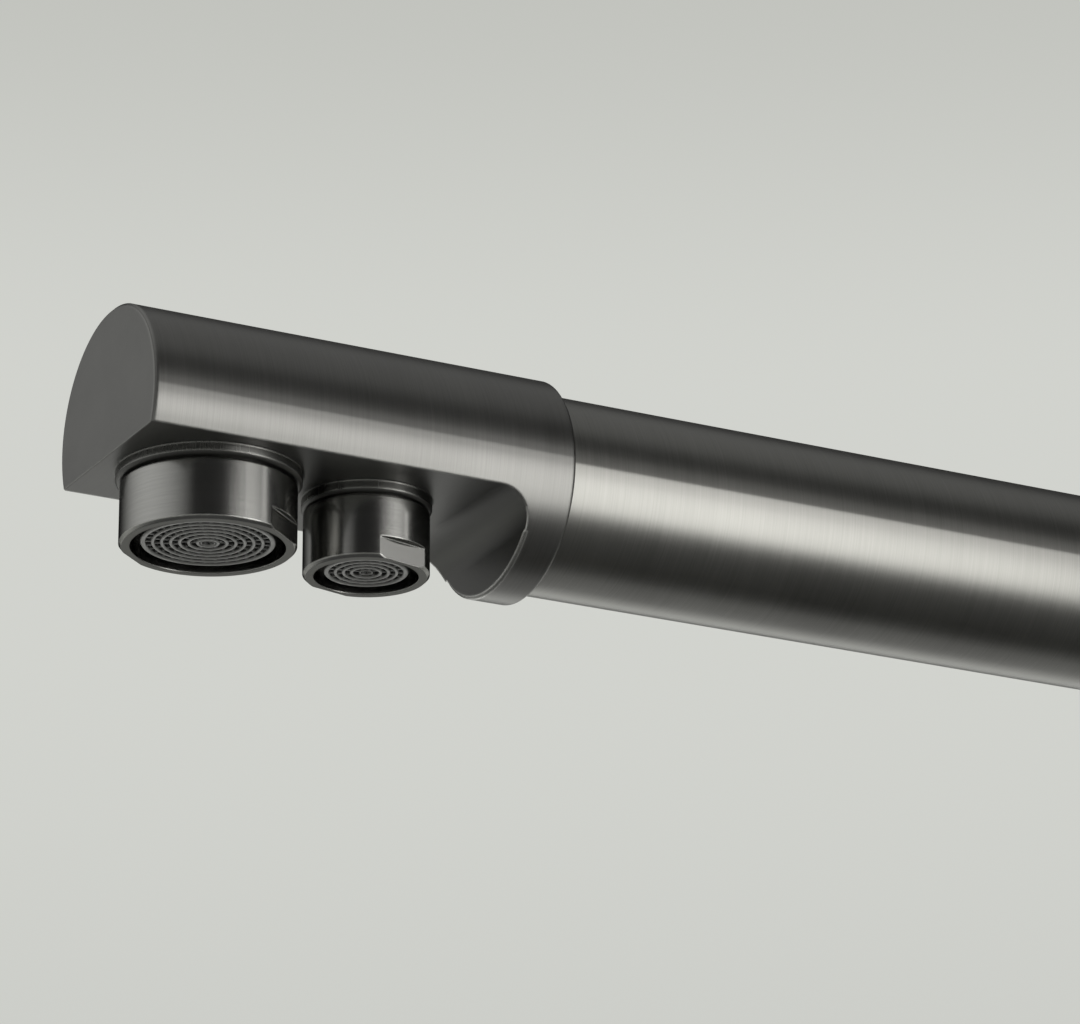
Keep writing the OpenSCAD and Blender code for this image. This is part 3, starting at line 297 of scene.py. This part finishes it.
# One turn of the thread: how far along the pitch each corner lies, and at what radius.
thread_turn = ((0.15, root_r), (0.45, shank_r), (0.6, shank_r), (0.9, root_r))
height = shank_low.z + shank_edge
outline = [(shank_bore, shank_high.z), (shank_bore, shank_low.z + bore_chamfer),
           (shank_bore + bore_chamfer, shank_low.z), (shank_r - shank_edge, shank_low.z),
           (root_r, height)]
while height + thread_pitch < thread_end:
    outline += [(radius, height + share * thread_pitch) for share, radius in thread_turn]
    height += thread_pitch
outline += [(shank_r, 0.0), (shank_r, shank_high.z)]
shank = lathe("threaded_shank", outline, steps=72)
brass = turned_metal("machined_brass", BRASS, round_column, roughness=0.24,
                     grain=(40.0, 40.0, 14000.0), depth=0.06)
hand_in(shank, "body", "brass", brass, "shank")

# Washers and lock nut. A thick moulded rubber washer spreads the load under the worktop, a
# pressed steel washer lies on it, and a brass hexagon nut with chamfered corners pulls both up.
STEEL = (0.55, 0.56, 0.57)


def moulded(name, colour, roughness, scale, depth, face=None):
    """Rubber, plastic or ceramic: a matt grain, slow changes of tone, light edges of wear and
    painted highlight, and painted shade above a face.
    """
    edge = 0.3 * MM
    spread = 0.08
    painted_shade_from = 0.05 * MM
    painted_shade_to = 0.3 * MM
    material, _, add, link = shader(name)
    place = on_piece(add)
    grain = noise(add, place, scale, 4.0, 0.6)
    clouds = noise(add, place, 60.0, 3.0)
    gloss = stretch(add, grain, 0.3, 0.7, roughness - spread, roughness + spread)
    base = blend(add, stretch(add, clouds, 0.3, 0.7), tinted(colour, 0.85), tinted(colour, 1.1))
    # Painted shade: above the face, in the slots and the hollow middle, the colour goes dark.
    if face is not None:
        inside = stretch(add, split(add, place)[2], face + painted_shade_from, face + painted_shade_to)
        base = blend(add, inside, base, tinted(colour, 0.2))
    # Edges lightened a little, partly as wear and partly as a painted highlight.
    edges, rounded = edge_mask(add, edge)
    base = blend(add, maths(add, "MULTIPLY", edges, 0.4), base, paler(colour, 0.15))
    link(base, "Base Color")
    link(gloss, "Roughness")
    link(relief(add, grain, depth, rounded), "Normal")
    return material


rubber = moulded("moulded_rubber", (0.022, 0.022, 0.023), roughness=0.62, scale=1400.0,
                 depth=0.35)
steel = turned_metal("pressed_steel", STEEL, round_column, roughness=0.26,
                     grain=(300.0, 300.0, 4000.0))

washer_low, washer_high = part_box("rubber_washer")
washer_r = washer_high.x
washer_play = 0.2 * MM
washer_bore = shank_r + washer_play
washer_round = 0.5 * MM
groove_count = 4
groove_depth = 0.4 * MM
groove_step = (washer_r - washer_bore - 4 * washer_round) / groove_count
# One groove under the washer: how far along its step each corner lies, and how deep.
groove = ((0.0, 0.0), (0.2, groove_depth), (0.6, groove_depth), (0.8, 0.0))
outline = [(washer_bore, washer_high.z - washer_round), (washer_bore, washer_low.z + washer_round),
           (washer_bore + washer_round, washer_low.z)]
for number in range(groove_count):
    start = washer_bore + 2 * washer_round + number * groove_step
    outline += [(start + share * groove_step, washer_low.z + deep) for share, deep in groove]
outline += [(washer_r - washer_round, washer_low.z), (washer_r, washer_low.z + washer_round),
            (washer_r, washer_high.z - washer_round), (washer_r - washer_round, washer_high.z),
            (washer_bore + washer_round, washer_high.z)]
washer = lathe("ribbed_rubber_washer", outline)
hand_in(washer, "body", "rubber", rubber, "rubber_washer")
dress(rubber, "base_gasket")
dress(steel, "steel_washer")

nut_low, nut_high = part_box("lock_nut")
nut_corner_r = nut_high.x
nut_flat_r = nut_high.y
nut_play = 0.1 * MM
nut_bore = shank_r + nut_play
nut_chamfer = 0.8 * MM
nut_slope = math.tan(math.radians(30))
crown = (nut_corner_r - nut_flat_r) * nut_slope
# The outline that crowns the nut reaches past its corners by this much.
spare = 2 * MM
spare_rise = spare * nut_slope
bpy.ops.object.select_all(action="DESELECT")
bpy.ops.mesh.primitive_cylinder_add(vertices=6, radius=nut_corner_r, depth=nut_high.z - nut_low.z,
                                    location=(0.0, 0.0, (nut_high.z + nut_low.z) / 2),
                                    rotation=(0.0, 0.0, math.radians(30)))
nut = bpy.context.object
nut.name = "hexagon_lock_nut"
bpy.ops.object.transform_apply(location=True, rotation=True, scale=True)
outline = [(nut_bore + nut_chamfer, nut_low.z), (nut_flat_r, nut_low.z),
           (nut_corner_r + spare, nut_low.z + crown + spare_rise),
           (nut_corner_r + spare, nut_high.z - crown - spare_rise),
           (nut_flat_r, nut_high.z), (nut_bore + nut_chamfer, nut_high.z),
           (nut_bore, nut_high.z - nut_chamfer), (nut_bore, nut_low.z + nut_chamfer)]
envelope = lathe("nut_envelope", outline)
cut = nut.modifiers.new("crowned", "BOOLEAN")
cut.operation = "INTERSECT"
cut.object = envelope
cut.solver = "EXACT"
bpy.ops.object.select_all(action="DESELECT")
bpy.context.view_layer.objects.active = nut
nut.select_set(True)
bpy.ops.object.modifier_apply(modifier="crowned")
bpy.data.objects.remove(envelope)
bpy.ops.object.shade_smooth_by_angle(angle=math.radians(20))
hand_in(nut, "body", "brass", brass, "lock_nut")

# Body casting and base flange. The body is a brass casting turned on the outside, brushed round
# its axis and coated in gunmetal; the flange is a separate ring that hides the worktop hole.
GUNMETAL = (0.235, 0.235, 0.222)
gunmetal = turned_metal("brushed_gunmetal", GUNMETAL, round_column, roughness=0.27)
dress(gunmetal, "base_flange", "tap_body", "swivel_cover")
dress(steel, "swivel_stop_screw")

# Mixer cartridge. Ceramic discs in a plastic housing with a brass ring nut over it, all inside
# the boss; the lever's stem tilts on a steel pin in a carrier that turns with it.
hub_low, hub_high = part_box("mixer_hub")
lever_h = hub_low.z + (hub_high.z - hub_low.z) / 2


def sideways(add):
    """Lines round the axis that both levers turn about."""
    return turned_about(add, (1.0, 0.0, 0.0), (0.0, 0.0, lever_h))


ceramic = moulded("lapped_ceramic", (0.78, 0.77, 0.73), roughness=0.22, scale=900.0, depth=0.03)
dark_plastic = moulded("moulded_dark_plastic", (0.035, 0.035, 0.037), roughness=0.42,
                       scale=900.0, depth=0.12)
white_plastic = moulded("moulded_white_plastic", (0.74, 0.74, 0.71), roughness=0.38,
                        scale=900.0, depth=0.1)
side_steel = turned_metal("turned_steel", STEEL, sideways, roughness=0.22)
side_brass = turned_metal("turned_brass", BRASS, sideways, roughness=0.22)
dress(ceramic, "fixed_disc", "moving_disc")
dress(dark_plastic, "cartridge_base", "cartridge_housing", "disc_driver", "mixer_plug")
dress(white_plastic, "cartridge_carrier")
dress(rubber, "cartridge_seals")
dress(side_brass, "cartridge_nut")
dress(side_steel, "pivot_pin", "lever_stem", "mixer_grub_screw")

# Mixer lever. A turned hub with a hollow ball face slides over the dome on the boss, and a thin
# rod with a chamfered end is screwed into it; all three are brushed gunmetal like the body.
side_gunmetal = turned_metal("brushed_gunmetal_lever", GUNMETAL, sideways, roughness=0.26)
rod_gunmetal = turned_metal("brushed_gunmetal_rod", GUNMETAL, upright, roughness=0.24,
                            grain=(90.0, 90.0, 11000.0))
dress(side_gunmetal, "mixer_dome", "mixer_hub")
dress(rod_gunmetal, "mixer_rod")

# Filter valve. A brass headwork with two ceramic discs and a spindle sits in the left boss; its
# hub turns on the spindle's end and carries a shorter rod.
dress(side_brass, "headwork", "spindle")
dress(rubber, "headwork_o_ring", "seat_seal", "spindle_o_rings")
dress(ceramic, "filter_fixed_disc", "filter_turning_disc")
dress(side_steel, "spindle_clip", "filter_grub_screw")
dress(dark_plastic, "filter_plug")
dress(side_gunmetal, "filter_hub")
dress(rod_gunmetal, "filter_rod")

# Swivel. The spigot is turned brass with two O-rings and a plastic slide ring; it turns in a
# plastic bush, and a plain cover ring hides the joint.
dress(brass, "spigot")
dress(rubber, "spigot_o_rings", "riser_o_ring", "head_o_ring")
dress(white_plastic, "swivel_bush", "slide_ring", "inner_tube")

# Spout tube. A bent stainless tube, brushed round its own centreline all the way from the
# column through the elbow to the end of the arm, then coated in gunmetal.
spout_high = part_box("spout_tube")[1]
tube_r = spout_high.x
arm_z = spout_high.z - tube_r
bend_r = 36 * MM
column_top = arm_z - bend_r
spout_lines = {"grain": (55.0, 55.0, 5200.0), "depth": 0.014, "spread": 0.02}


def along_spout(add):
    """A place whose Z is the distance along the spout's centreline, from column to tip."""
    least_reach = 1e-5
    x, y, z = split(add, on_piece(add))
    rise = maths(add, "SUBTRACT", z, column_top)
    reach = maths(add, "ADD", y, bend_r)
    turn = maths(add, "ARCTAN2", maths(add, "MAXIMUM", rise, 0.0),
                 maths(add, "MAXIMUM", reach, least_reach))
    column = maths(add, "MINIMUM", rise, 0.0)
    arm = maths(add, "MAXIMUM", maths(add, "MULTIPLY", reach, -1.0), 0.0)
    straight = maths(add, "ADD", column, arm)
    length = maths(add, "ADD", straight, maths(add, "MULTIPLY", turn, bend_r))
    return joined(add, x, maths(add, "ADD", y, z), length)


spout_gunmetal = turned_metal("brushed_gunmetal_spout", GUNMETAL, along_spout, roughness=0.31,
                              **spout_lines)
dress(spout_gunmetal, "spout_tube")

# Spout head. A solid turned bar with its lower half milled away to a flat, more matt than the rest
# and darker, partly as a milled finish and partly as painted shade. The small round collar behind
# the cut has a painted highlight on its chamfer, and the two round collars over the outlets are
# polished.
HEAD_GUNMETAL = (0.19, 0.19, 0.182)
head_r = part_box("spout_head")[1].x
tip_y = cad_box[0][1]
cut_length = 56.6 * MM
cut_end = tip_y + cut_length
# How far behind the end face the milled finish and its painted shade start, and how far inside the
# turned radius they fade in, from skin to core.
past_face = 0.1 * MM
skin = 0.15 * MM
core = 0.35 * MM
# Room for the collars: below the flat, behind the end face and ahead of the wall.
under_flat = 5.3 * MM
clear_of_face = 0.5 * MM
clear_of_wall = 8.0 * MM
# The chamfer's painted highlight at the wall: half its width, and how far below the arm's axis it
# starts.
chamfer_reach = 0.9 * MM
chamfer_drop = 7.5 * MM
# Finishes: the share of the colour and what is added to the roughness.
# The first finish darkens the colour and adds roughness, partly a matt milled finish and partly
# painted shade; the second is polished.
MILLED_WITH_PAINTED_SHADE = (0.55, 0.09)
POLISHED = (1.0, -0.16)


def along_arm(add):
    """Lines that run round the arm's axis, so they change along Y."""
    return add("ShaderNodeMapping", {"Vector": on_piece(add),
                                     "Rotation": (math.radians(90), 0.0, 0.0)}).outputs[0]


# Painted shade: the flat, collars and wall are darkened partly as a milled finish and partly for
# the shade under the arm.
def milled_and_shaded_faces(add):
    """White inside the turned radius behind the tip: the flat, both collars and the wall."""
    x, y, z = split(add, on_piece(add))
    drop = maths(add, "SUBTRACT", z, arm_z)
    radius = vectors(add, "LENGTH", joined(add, x, drop, 0.0))
    inside = stretch(add, radius, head_r - skin, head_r - core)
    behind = maths(add, "GREATER_THAN", y, tip_y + past_face)
    return maths(add, "MULTIPLY", inside, behind)


def painted_wall_highlight(add):
    """White in a thin slice at the wall, below the arm's axis, where the chamfer gets a painted
    highlight.
    """
    y, z = split(add, on_piece(add))[1:]
    at_wall = maths(add, "COMPARE", y, cut_end, chamfer_reach)
    below = maths(add, "LESS_THAN", z, arm_z - chamfer_drop)
    return maths(add, "MULTIPLY", at_wall, below)


def outlet_collars(add):
    """White on the upright walls of the two collars that stand out of the flat."""
    y, z = split(add, on_piece(add))[1:]
    facing_up = split(add, on_piece(add, "Normal"))[2]
    upright_wall = maths(add, "COMPARE", facing_up, 0.0, 0.2)
    under = maths(add, "LESS_THAN", z, arm_z - under_flat)
    ahead = maths(add, "LESS_THAN", y, cut_end - clear_of_wall)
    behind = maths(add, "GREATER_THAN", y, tip_y + clear_of_face)
    here = maths(add, "MULTIPLY", upright_wall, under)
    return maths(add, "MULTIPLY", here, maths(add, "MULTIPLY", ahead, behind))


head_gunmetal = turned_metal("brushed_gunmetal_head", HEAD_GUNMETAL, along_arm, roughness=0.33,
                             edge_light=0.12, painted_highlight=painted_wall_highlight,
                             finishes=((milled_and_shaded_faces, *MILLED_WITH_PAINTED_SHADE), (outlet_collars, *POLISHED)),
                             **spout_lines)
dress(head_gunmetal, "spout_head")

# Aerator shells. Thin brass shells with two spanner flats each, turned, polished brighter than
# the head and coated in the same gunmetal.
SHELL_GUNMETAL = (0.37, 0.37, 0.355)


# Painted shade: faces that look down are darkened and made more matt, partly as a milled finish.
def lower_rims(add):
    """White on the faces that look straight down."""
    return stretch(add, split(add, on_piece(add, "Normal"))[2], -0.97, -0.999)


polished = turned_metal("polished_gunmetal_shell", SHELL_GUNMETAL, upright, roughness=0.19,
                        grain=(80.0, 80.0, 9000.0), depth=0.004, spread=0.015, edge=0.3 * MM,
                        edge_light=0.05, finishes=((lower_rims, *MILLED_WITH_PAINTED_SHADE),), glancing=0.3)
dress(polished, "main_aerator_shell", "filter_aerator_shell")
dress(rubber, "main_aerator_washer", "filter_aerator_washer")
dress(steel, "main_aerator_screen")

# Aerator inserts. Moulded satin plastic cups whose face is a set of thin round walls joined by
# short bars, so that water leaves through rings of small slots round a closed middle.
AERATOR_GREY = (0.135, 0.135, 0.13)
# The shell's rim, the gap inside it, and the cup: its wall, its flange and its rounded edge.
rim_w = 1.5 * MM
rim_gap = 1.4 * MM
cup_wall = 0.7 * MM
flange_t = 0.7 * MM
cup_edge = 0.15 * MM
# The round walls: how thick and high they are, how high their lower edge is chamfered, and the
# shares of the thickness where the flat between the chamfers starts and ends.
ring_t = 0.45 * MM
ring_h = 1.3 * MM
ring_edge = 0.12 * MM
ring_near = 0.2
ring_far = 0.8
# The bars: their width and height, and how far above the face their middle lies. Those that
# hold the closed middle are longer.
bar_w = 0.34 * MM
bar_h = 0.9 * MM
bar_z = 0.75 * MM
middle_bars = 6
middle_bar_share = 1.6
# The closed middle: its radius as a share of the pitch of the rings, its hollow as a share of
# that, how far up the hollow's floor lies, and the rise and width of its lower edge.
middle_share = 0.85
hole_share = 0.8
floor_up = 0.9 * MM
middle_edge_h = 0.1 * MM
middle_edge_w = 0.08 * MM


def half_width(node):
    """Half of a CAD node's width."""
    low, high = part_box(node)
    return (high.x - low.x) / 2


def bar(centre, reach, angle, length):
    """A short bar that points away from the middle of a spray face."""
    bpy.ops.object.select_all(action="DESELECT")
    bpy.ops.mesh.primitive_cube_add(
        size=1.0, scale=(length, bar_w, bar_h), rotation=(0.0, 0.0, angle),
        location=(centre[0] + reach * math.cos(angle), centre[1] + reach * math.sin(angle),
                  centre[2] + bar_z))
    return bpy.context.object


def spray_face(name, insert, shell, ring_pitch, slots):
    """A cup in the place of a CAD insert, with rings of slots between thin round walls."""
    low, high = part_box(insert)
    centre = ((low.x + high.x) / 2, (low.y + high.y) / 2, low.z)
    depth = high.z - low.z
    flange_r = half_width(insert)
    cup_r = half_width(shell) - rim_w - rim_gap
    bore_r = cup_r - cup_wall
    middle_r = middle_share * ring_pitch
    hole_r = hole_share * middle_r
    cup = lathe(name, [(bore_r, cup_edge), (bore_r + cup_edge, 0.0), (cup_r - cup_edge, 0.0),
                       (cup_r, cup_edge), (cup_r, depth - flange_t), (flange_r, depth - flange_t),
                       (flange_r, depth), (bore_r, depth)], centre)
    parts = [cup]
    radius = bore_r - ring_pitch + ring_t
    row = 0
    while radius > middle_r + ring_t:
        parts.append(lathe(name + "_ring", [
            (radius - ring_t, ring_edge), (radius - ring_far * ring_t, 0.0),
            (radius - ring_near * ring_t, 0.0), (radius, ring_edge), (radius, ring_h),
            (radius - ring_t, ring_h)], centre, steps=64))
        count = max(middle_bars, round(slots * radius / cup_r))
        reach = radius + (ring_pitch - ring_t) / 2
        for number in range(count):
            angle = 2 * math.pi * (number + 0.5 * (row % 2)) / count
            parts.append(bar(centre, reach, angle, ring_pitch))
        radius -= ring_pitch
        row += 1
    parts.append(lathe(name + "_middle", [
        (0.0, floor_up), (hole_r, floor_up), (hole_r, middle_edge_h),
        (hole_r + middle_edge_w, 0.0), (middle_r - middle_edge_w, 0.0),
        (middle_r, middle_edge_h), (middle_r, ring_h), (0.0, ring_h)], centre, steps=48))
    reach = (middle_r + radius + ring_t) / 2
    for number in range(middle_bars):
        angle = 2 * math.pi * number / middle_bars
        parts.append(bar(centre, reach, angle, middle_bar_share * ring_pitch))
    bpy.ops.object.select_all(action="DESELECT")
    for part in parts:
        part.select_set(True)
    bpy.context.view_layer.objects.active = cup
    bpy.ops.object.join()
    bpy.ops.object.transform_apply(location=True, rotation=True, scale=True)
    return cup


for outlet, ring_pitch, slots in (("main", 1.2 * MM, 40), ("filter", 1.1 * MM, 26)):
    insert = outlet + "_aerator_insert"
    # face is the lowest point of the insert, above which the slots get painted shade.
    plastic = moulded("moulded_" + outlet + "_aerator", AERATOR_GREY, roughness=0.36,
                      scale=1200.0, depth=0.05, face=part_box(insert)[0].z)
    face = spray_face(outlet + "_spray_face", insert, outlet + "_aerator_shell", ring_pitch, slots)
    hand_in(face, "spout", "aerator_plastic", plastic, insert)

# Floor and backdrop. The floor lies under the shank's end and is pale all over; in the metal's
# reflections it is dark near the tap. The camera sees a pale backdrop, which is a little darker
# higher up, and everything else is lit by a dim ceiling and a soft glow in front.
floor_size = 12.0
floor_gap = 0.5 * MM
dark_within = 0.45
pale_beyond = 0.9
FLOOR_PALE = (0.62, 0.625, 0.595, 1.0)
FLOOR_DARK = (0.085, 0.085, 0.083, 1.0)
BACKDROP_LOW = (0.600, 0.610, 0.578, 1.0)
BACKDROP_MIDDLE = (0.640, 0.650, 0.615, 1.0)
BACKDROP_HIGH = (0.530, 0.538, 0.505, 1.0)
SKY_WHITE = (1.0, 1.0, 0.985, 1.0)
# Steps of the sky: the Z of the direction where each starts and where it ends.
backdrop_middle = (0.22, 0.32)
backdrop_high = (0.36, 0.45)
ceiling = (0.70, 0.86)
# How strong the light is below and in the ceiling, and in the middle of the glow.
under_ceiling = 0.03
in_ceiling = 0.32
in_glow = 0.72
glow_azimuth = math.radians(-112.0)
glow_elevation = math.radians(21.0)
glow_edge = 0.45


def soft_step(add, value, low, high, first=0.0, last=1.0):
    """As stretch does, with a smooth start and end."""
    return stretch(add, value, low, high, first, last, interpolation_type="SMOOTHSTEP")


bpy.ops.object.select_all(action="DESELECT")
bpy.ops.mesh.primitive_plane_add(size=floor_size, location=(0.0, 0.0, cad_box[0][2] - floor_gap))
floor = bpy.context.object
floor.name = "studio_floor"
floor_material, _, add, link = shader("pale_floor")
place = on_piece(add)
near = soft_step(add, vectors(add, "LENGTH", place), pale_beyond, dark_within)
mirrored = maths(add, "MULTIPLY", near, add("ShaderNodeLightPath").outputs["Is Glossy Ray"])
link(blend(add, mirrored, FLOOR_PALE, FLOOR_DARK), "Base Color")
link(stretch(add, noise(add, place, 90.0, 3.0), 0.0, 1.0, 0.75, 0.9), "Roughness")
floor.data.materials.append(floor_material)

world = bpy.data.worlds.new("studio")
bpy.context.scene.world = world
world.use_nodes = True
world.node_tree.nodes.clear()
add = adder(world.node_tree)
way = on_piece(add, "Generated")
up = split(add, way)[2]
glow_axis = (math.cos(glow_azimuth) * math.cos(glow_elevation),
             math.sin(glow_azimuth) * math.cos(glow_elevation), math.sin(glow_elevation))
overhead_light = soft_step(add, up, *ceiling, under_ceiling, in_ceiling)
to_glow = vectors(add, "DOT_PRODUCT", way, glow_axis)
front_light = stretch(add, to_glow, glow_edge, 1.0, 0.0, in_glow)
strength = maths(add, "ADD", overhead_light, front_light)
lit = add("ShaderNodeBackground", {"Color": SKY_WHITE, "Strength": strength})
lower = blend(add, soft_step(add, up, *backdrop_middle), BACKDROP_LOW, BACKDROP_MIDDLE)
backdrop = blend(add, soft_step(add, up, *backdrop_high), lower, BACKDROP_HIGH)
seen = add("ShaderNodeBackground", {"Color": backdrop})
from_camera = add("ShaderNodeLightPath").outputs["Is Camera Ray"]
pick = add("ShaderNodeMixShader", {"Fac": from_camera, 1: lit.outputs[0], 2: seen.outputs[0]})
add("ShaderNodeOutputWorld", {"Surface": pick.outputs[0]})

# Lights. One wide soft light stands overhead and doesn't show in metal. What metal mirrors are
# soft panels: a tall one of five layers, two low ones and a small high one on the mixer lever's
# side, and a pale wall and a low deck on the filtered water lever's side.
SOFT_WHITE = (1.0, 0.99, 0.97)
WARM_WHITE = (1.0, 0.985, 0.965)
WALL_WHITE = (1.0, 1.0, 0.98)
# How a panel is turned, in degrees: to face the tap from the right or the left, or to face up.
FROM_RIGHT = (90, 0, 90)
FROM_LEFT = (90, 0, -90)
FROM_BELOW = (180, 0, 0)


def panel(name, middle, turn, width, height, radiance, colour):
    """A flat soft light that only metal and gloss show, as bright as radiance all over."""
    data = bpy.data.lights.new(name, "AREA")
    data.shape = "RECTANGLE"
    data.size = width
    data.size_y = height
    data.energy = radiance * width * height * math.pi
    data.color = colour
    lamp = bpy.data.objects.new(name, data)
    bpy.context.scene.collection.objects.link(lamp)
    lamp.location = middle
    lamp.rotation_euler = [math.radians(angle) for angle in turn]
    lamp.visible_camera = False
    lamp.visible_diffuse = False


sun_strength = 2.3
sun_width = math.radians(75)
sun_tilt = [math.radians(18), math.radians(14), 0.0]
overhead_data = bpy.data.lights.new("overhead", "SUN")
overhead_data.energy = sun_strength
overhead_data.angle = sun_width
overhead = bpy.data.objects.new("overhead", overhead_data)
bpy.context.scene.collection.objects.link(overhead)
overhead.rotation_euler = sun_tilt
overhead.visible_glossy = False

# The tall panel's layers: where along Y each starts and stops, and how much light it adds.
layers = ((-0.133, 0.850, 0.17), (-0.093, 0.600, 0.19), (-0.055, 0.490, 0.19),
          (-0.016, 0.400, 0.17), (0.030, 0.230, 0.12))
tall_x = 0.450
tall_z = 0.2425
tall_h = 0.595
layer_gap = 0.004
for layer, (start, stop, radiance) in enumerate(layers):
    panel("tall_softbox", (tall_x + layer_gap * layer, (start + stop) / 2, tall_z), FROM_RIGHT,
          width=stop - start, height=tall_h, radiance=radiance, colour=SOFT_WHITE)
panel("low_softbox", (0.445, 0.110, 0.226), FROM_RIGHT,
      width=0.22, height=0.372, radiance=2.55, colour=WARM_WHITE)
panel("low_softbox_end", (0.445, -0.1, 0.329), FROM_RIGHT,
      width=0.2, height=0.166, radiance=2.9, colour=WARM_WHITE)
panel("high_softbox", (0.474, 0.410, 0.575), FROM_RIGHT,
      width=0.15, height=0.07, radiance=1.4, colour=SOFT_WHITE)
panel("left_wall", (-0.500, 0.200, 0.108), FROM_LEFT,
      width=0.90, height=0.325, radiance=0.45, colour=WALL_WHITE)
panel("left_deck", (-0.310, 0.200, -0.055), FROM_BELOW,
      width=0.38, height=0.70, radiance=0.3, colour=WALL_WHITE)

# Camera. It stands below the arm on the mixer lever's side and looks up at the outlets, as in
# the photograph: its place and lens come from a fit of the head and the two outlets.
view_azimuth = math.radians(62.09)
view_elevation = math.radians(-20.01)
view_roll = math.radians(-0.22)
camera_from_tip = Vector((0.5996, -0.2524, -0.2494))
camera_data = bpy.data.cameras.new("photo_camera")
camera_data.sensor_width = 36.0
camera_data.lens = 173.66
camera_data.clip_start = 10 * MM
camera = bpy.data.objects.new("photo_camera", camera_data)
bpy.context.scene.collection.objects.link(camera)
view_turn = (Matrix.Rotation(view_azimuth, 3, "Z")
             @ Matrix.Rotation(math.radians(90) - view_elevation, 3, "X")
             @ Matrix.Rotation(view_roll, 3, "Z"))
tip = Vector((0.0, tip_y, arm_z))
camera.matrix_world = Matrix.Translation(tip + camera_from_tip) @ view_turn.to_4x4()
bpy.context.scene.camera = camera
bpy.context.scene.view_settings.view_transform = "Standard"
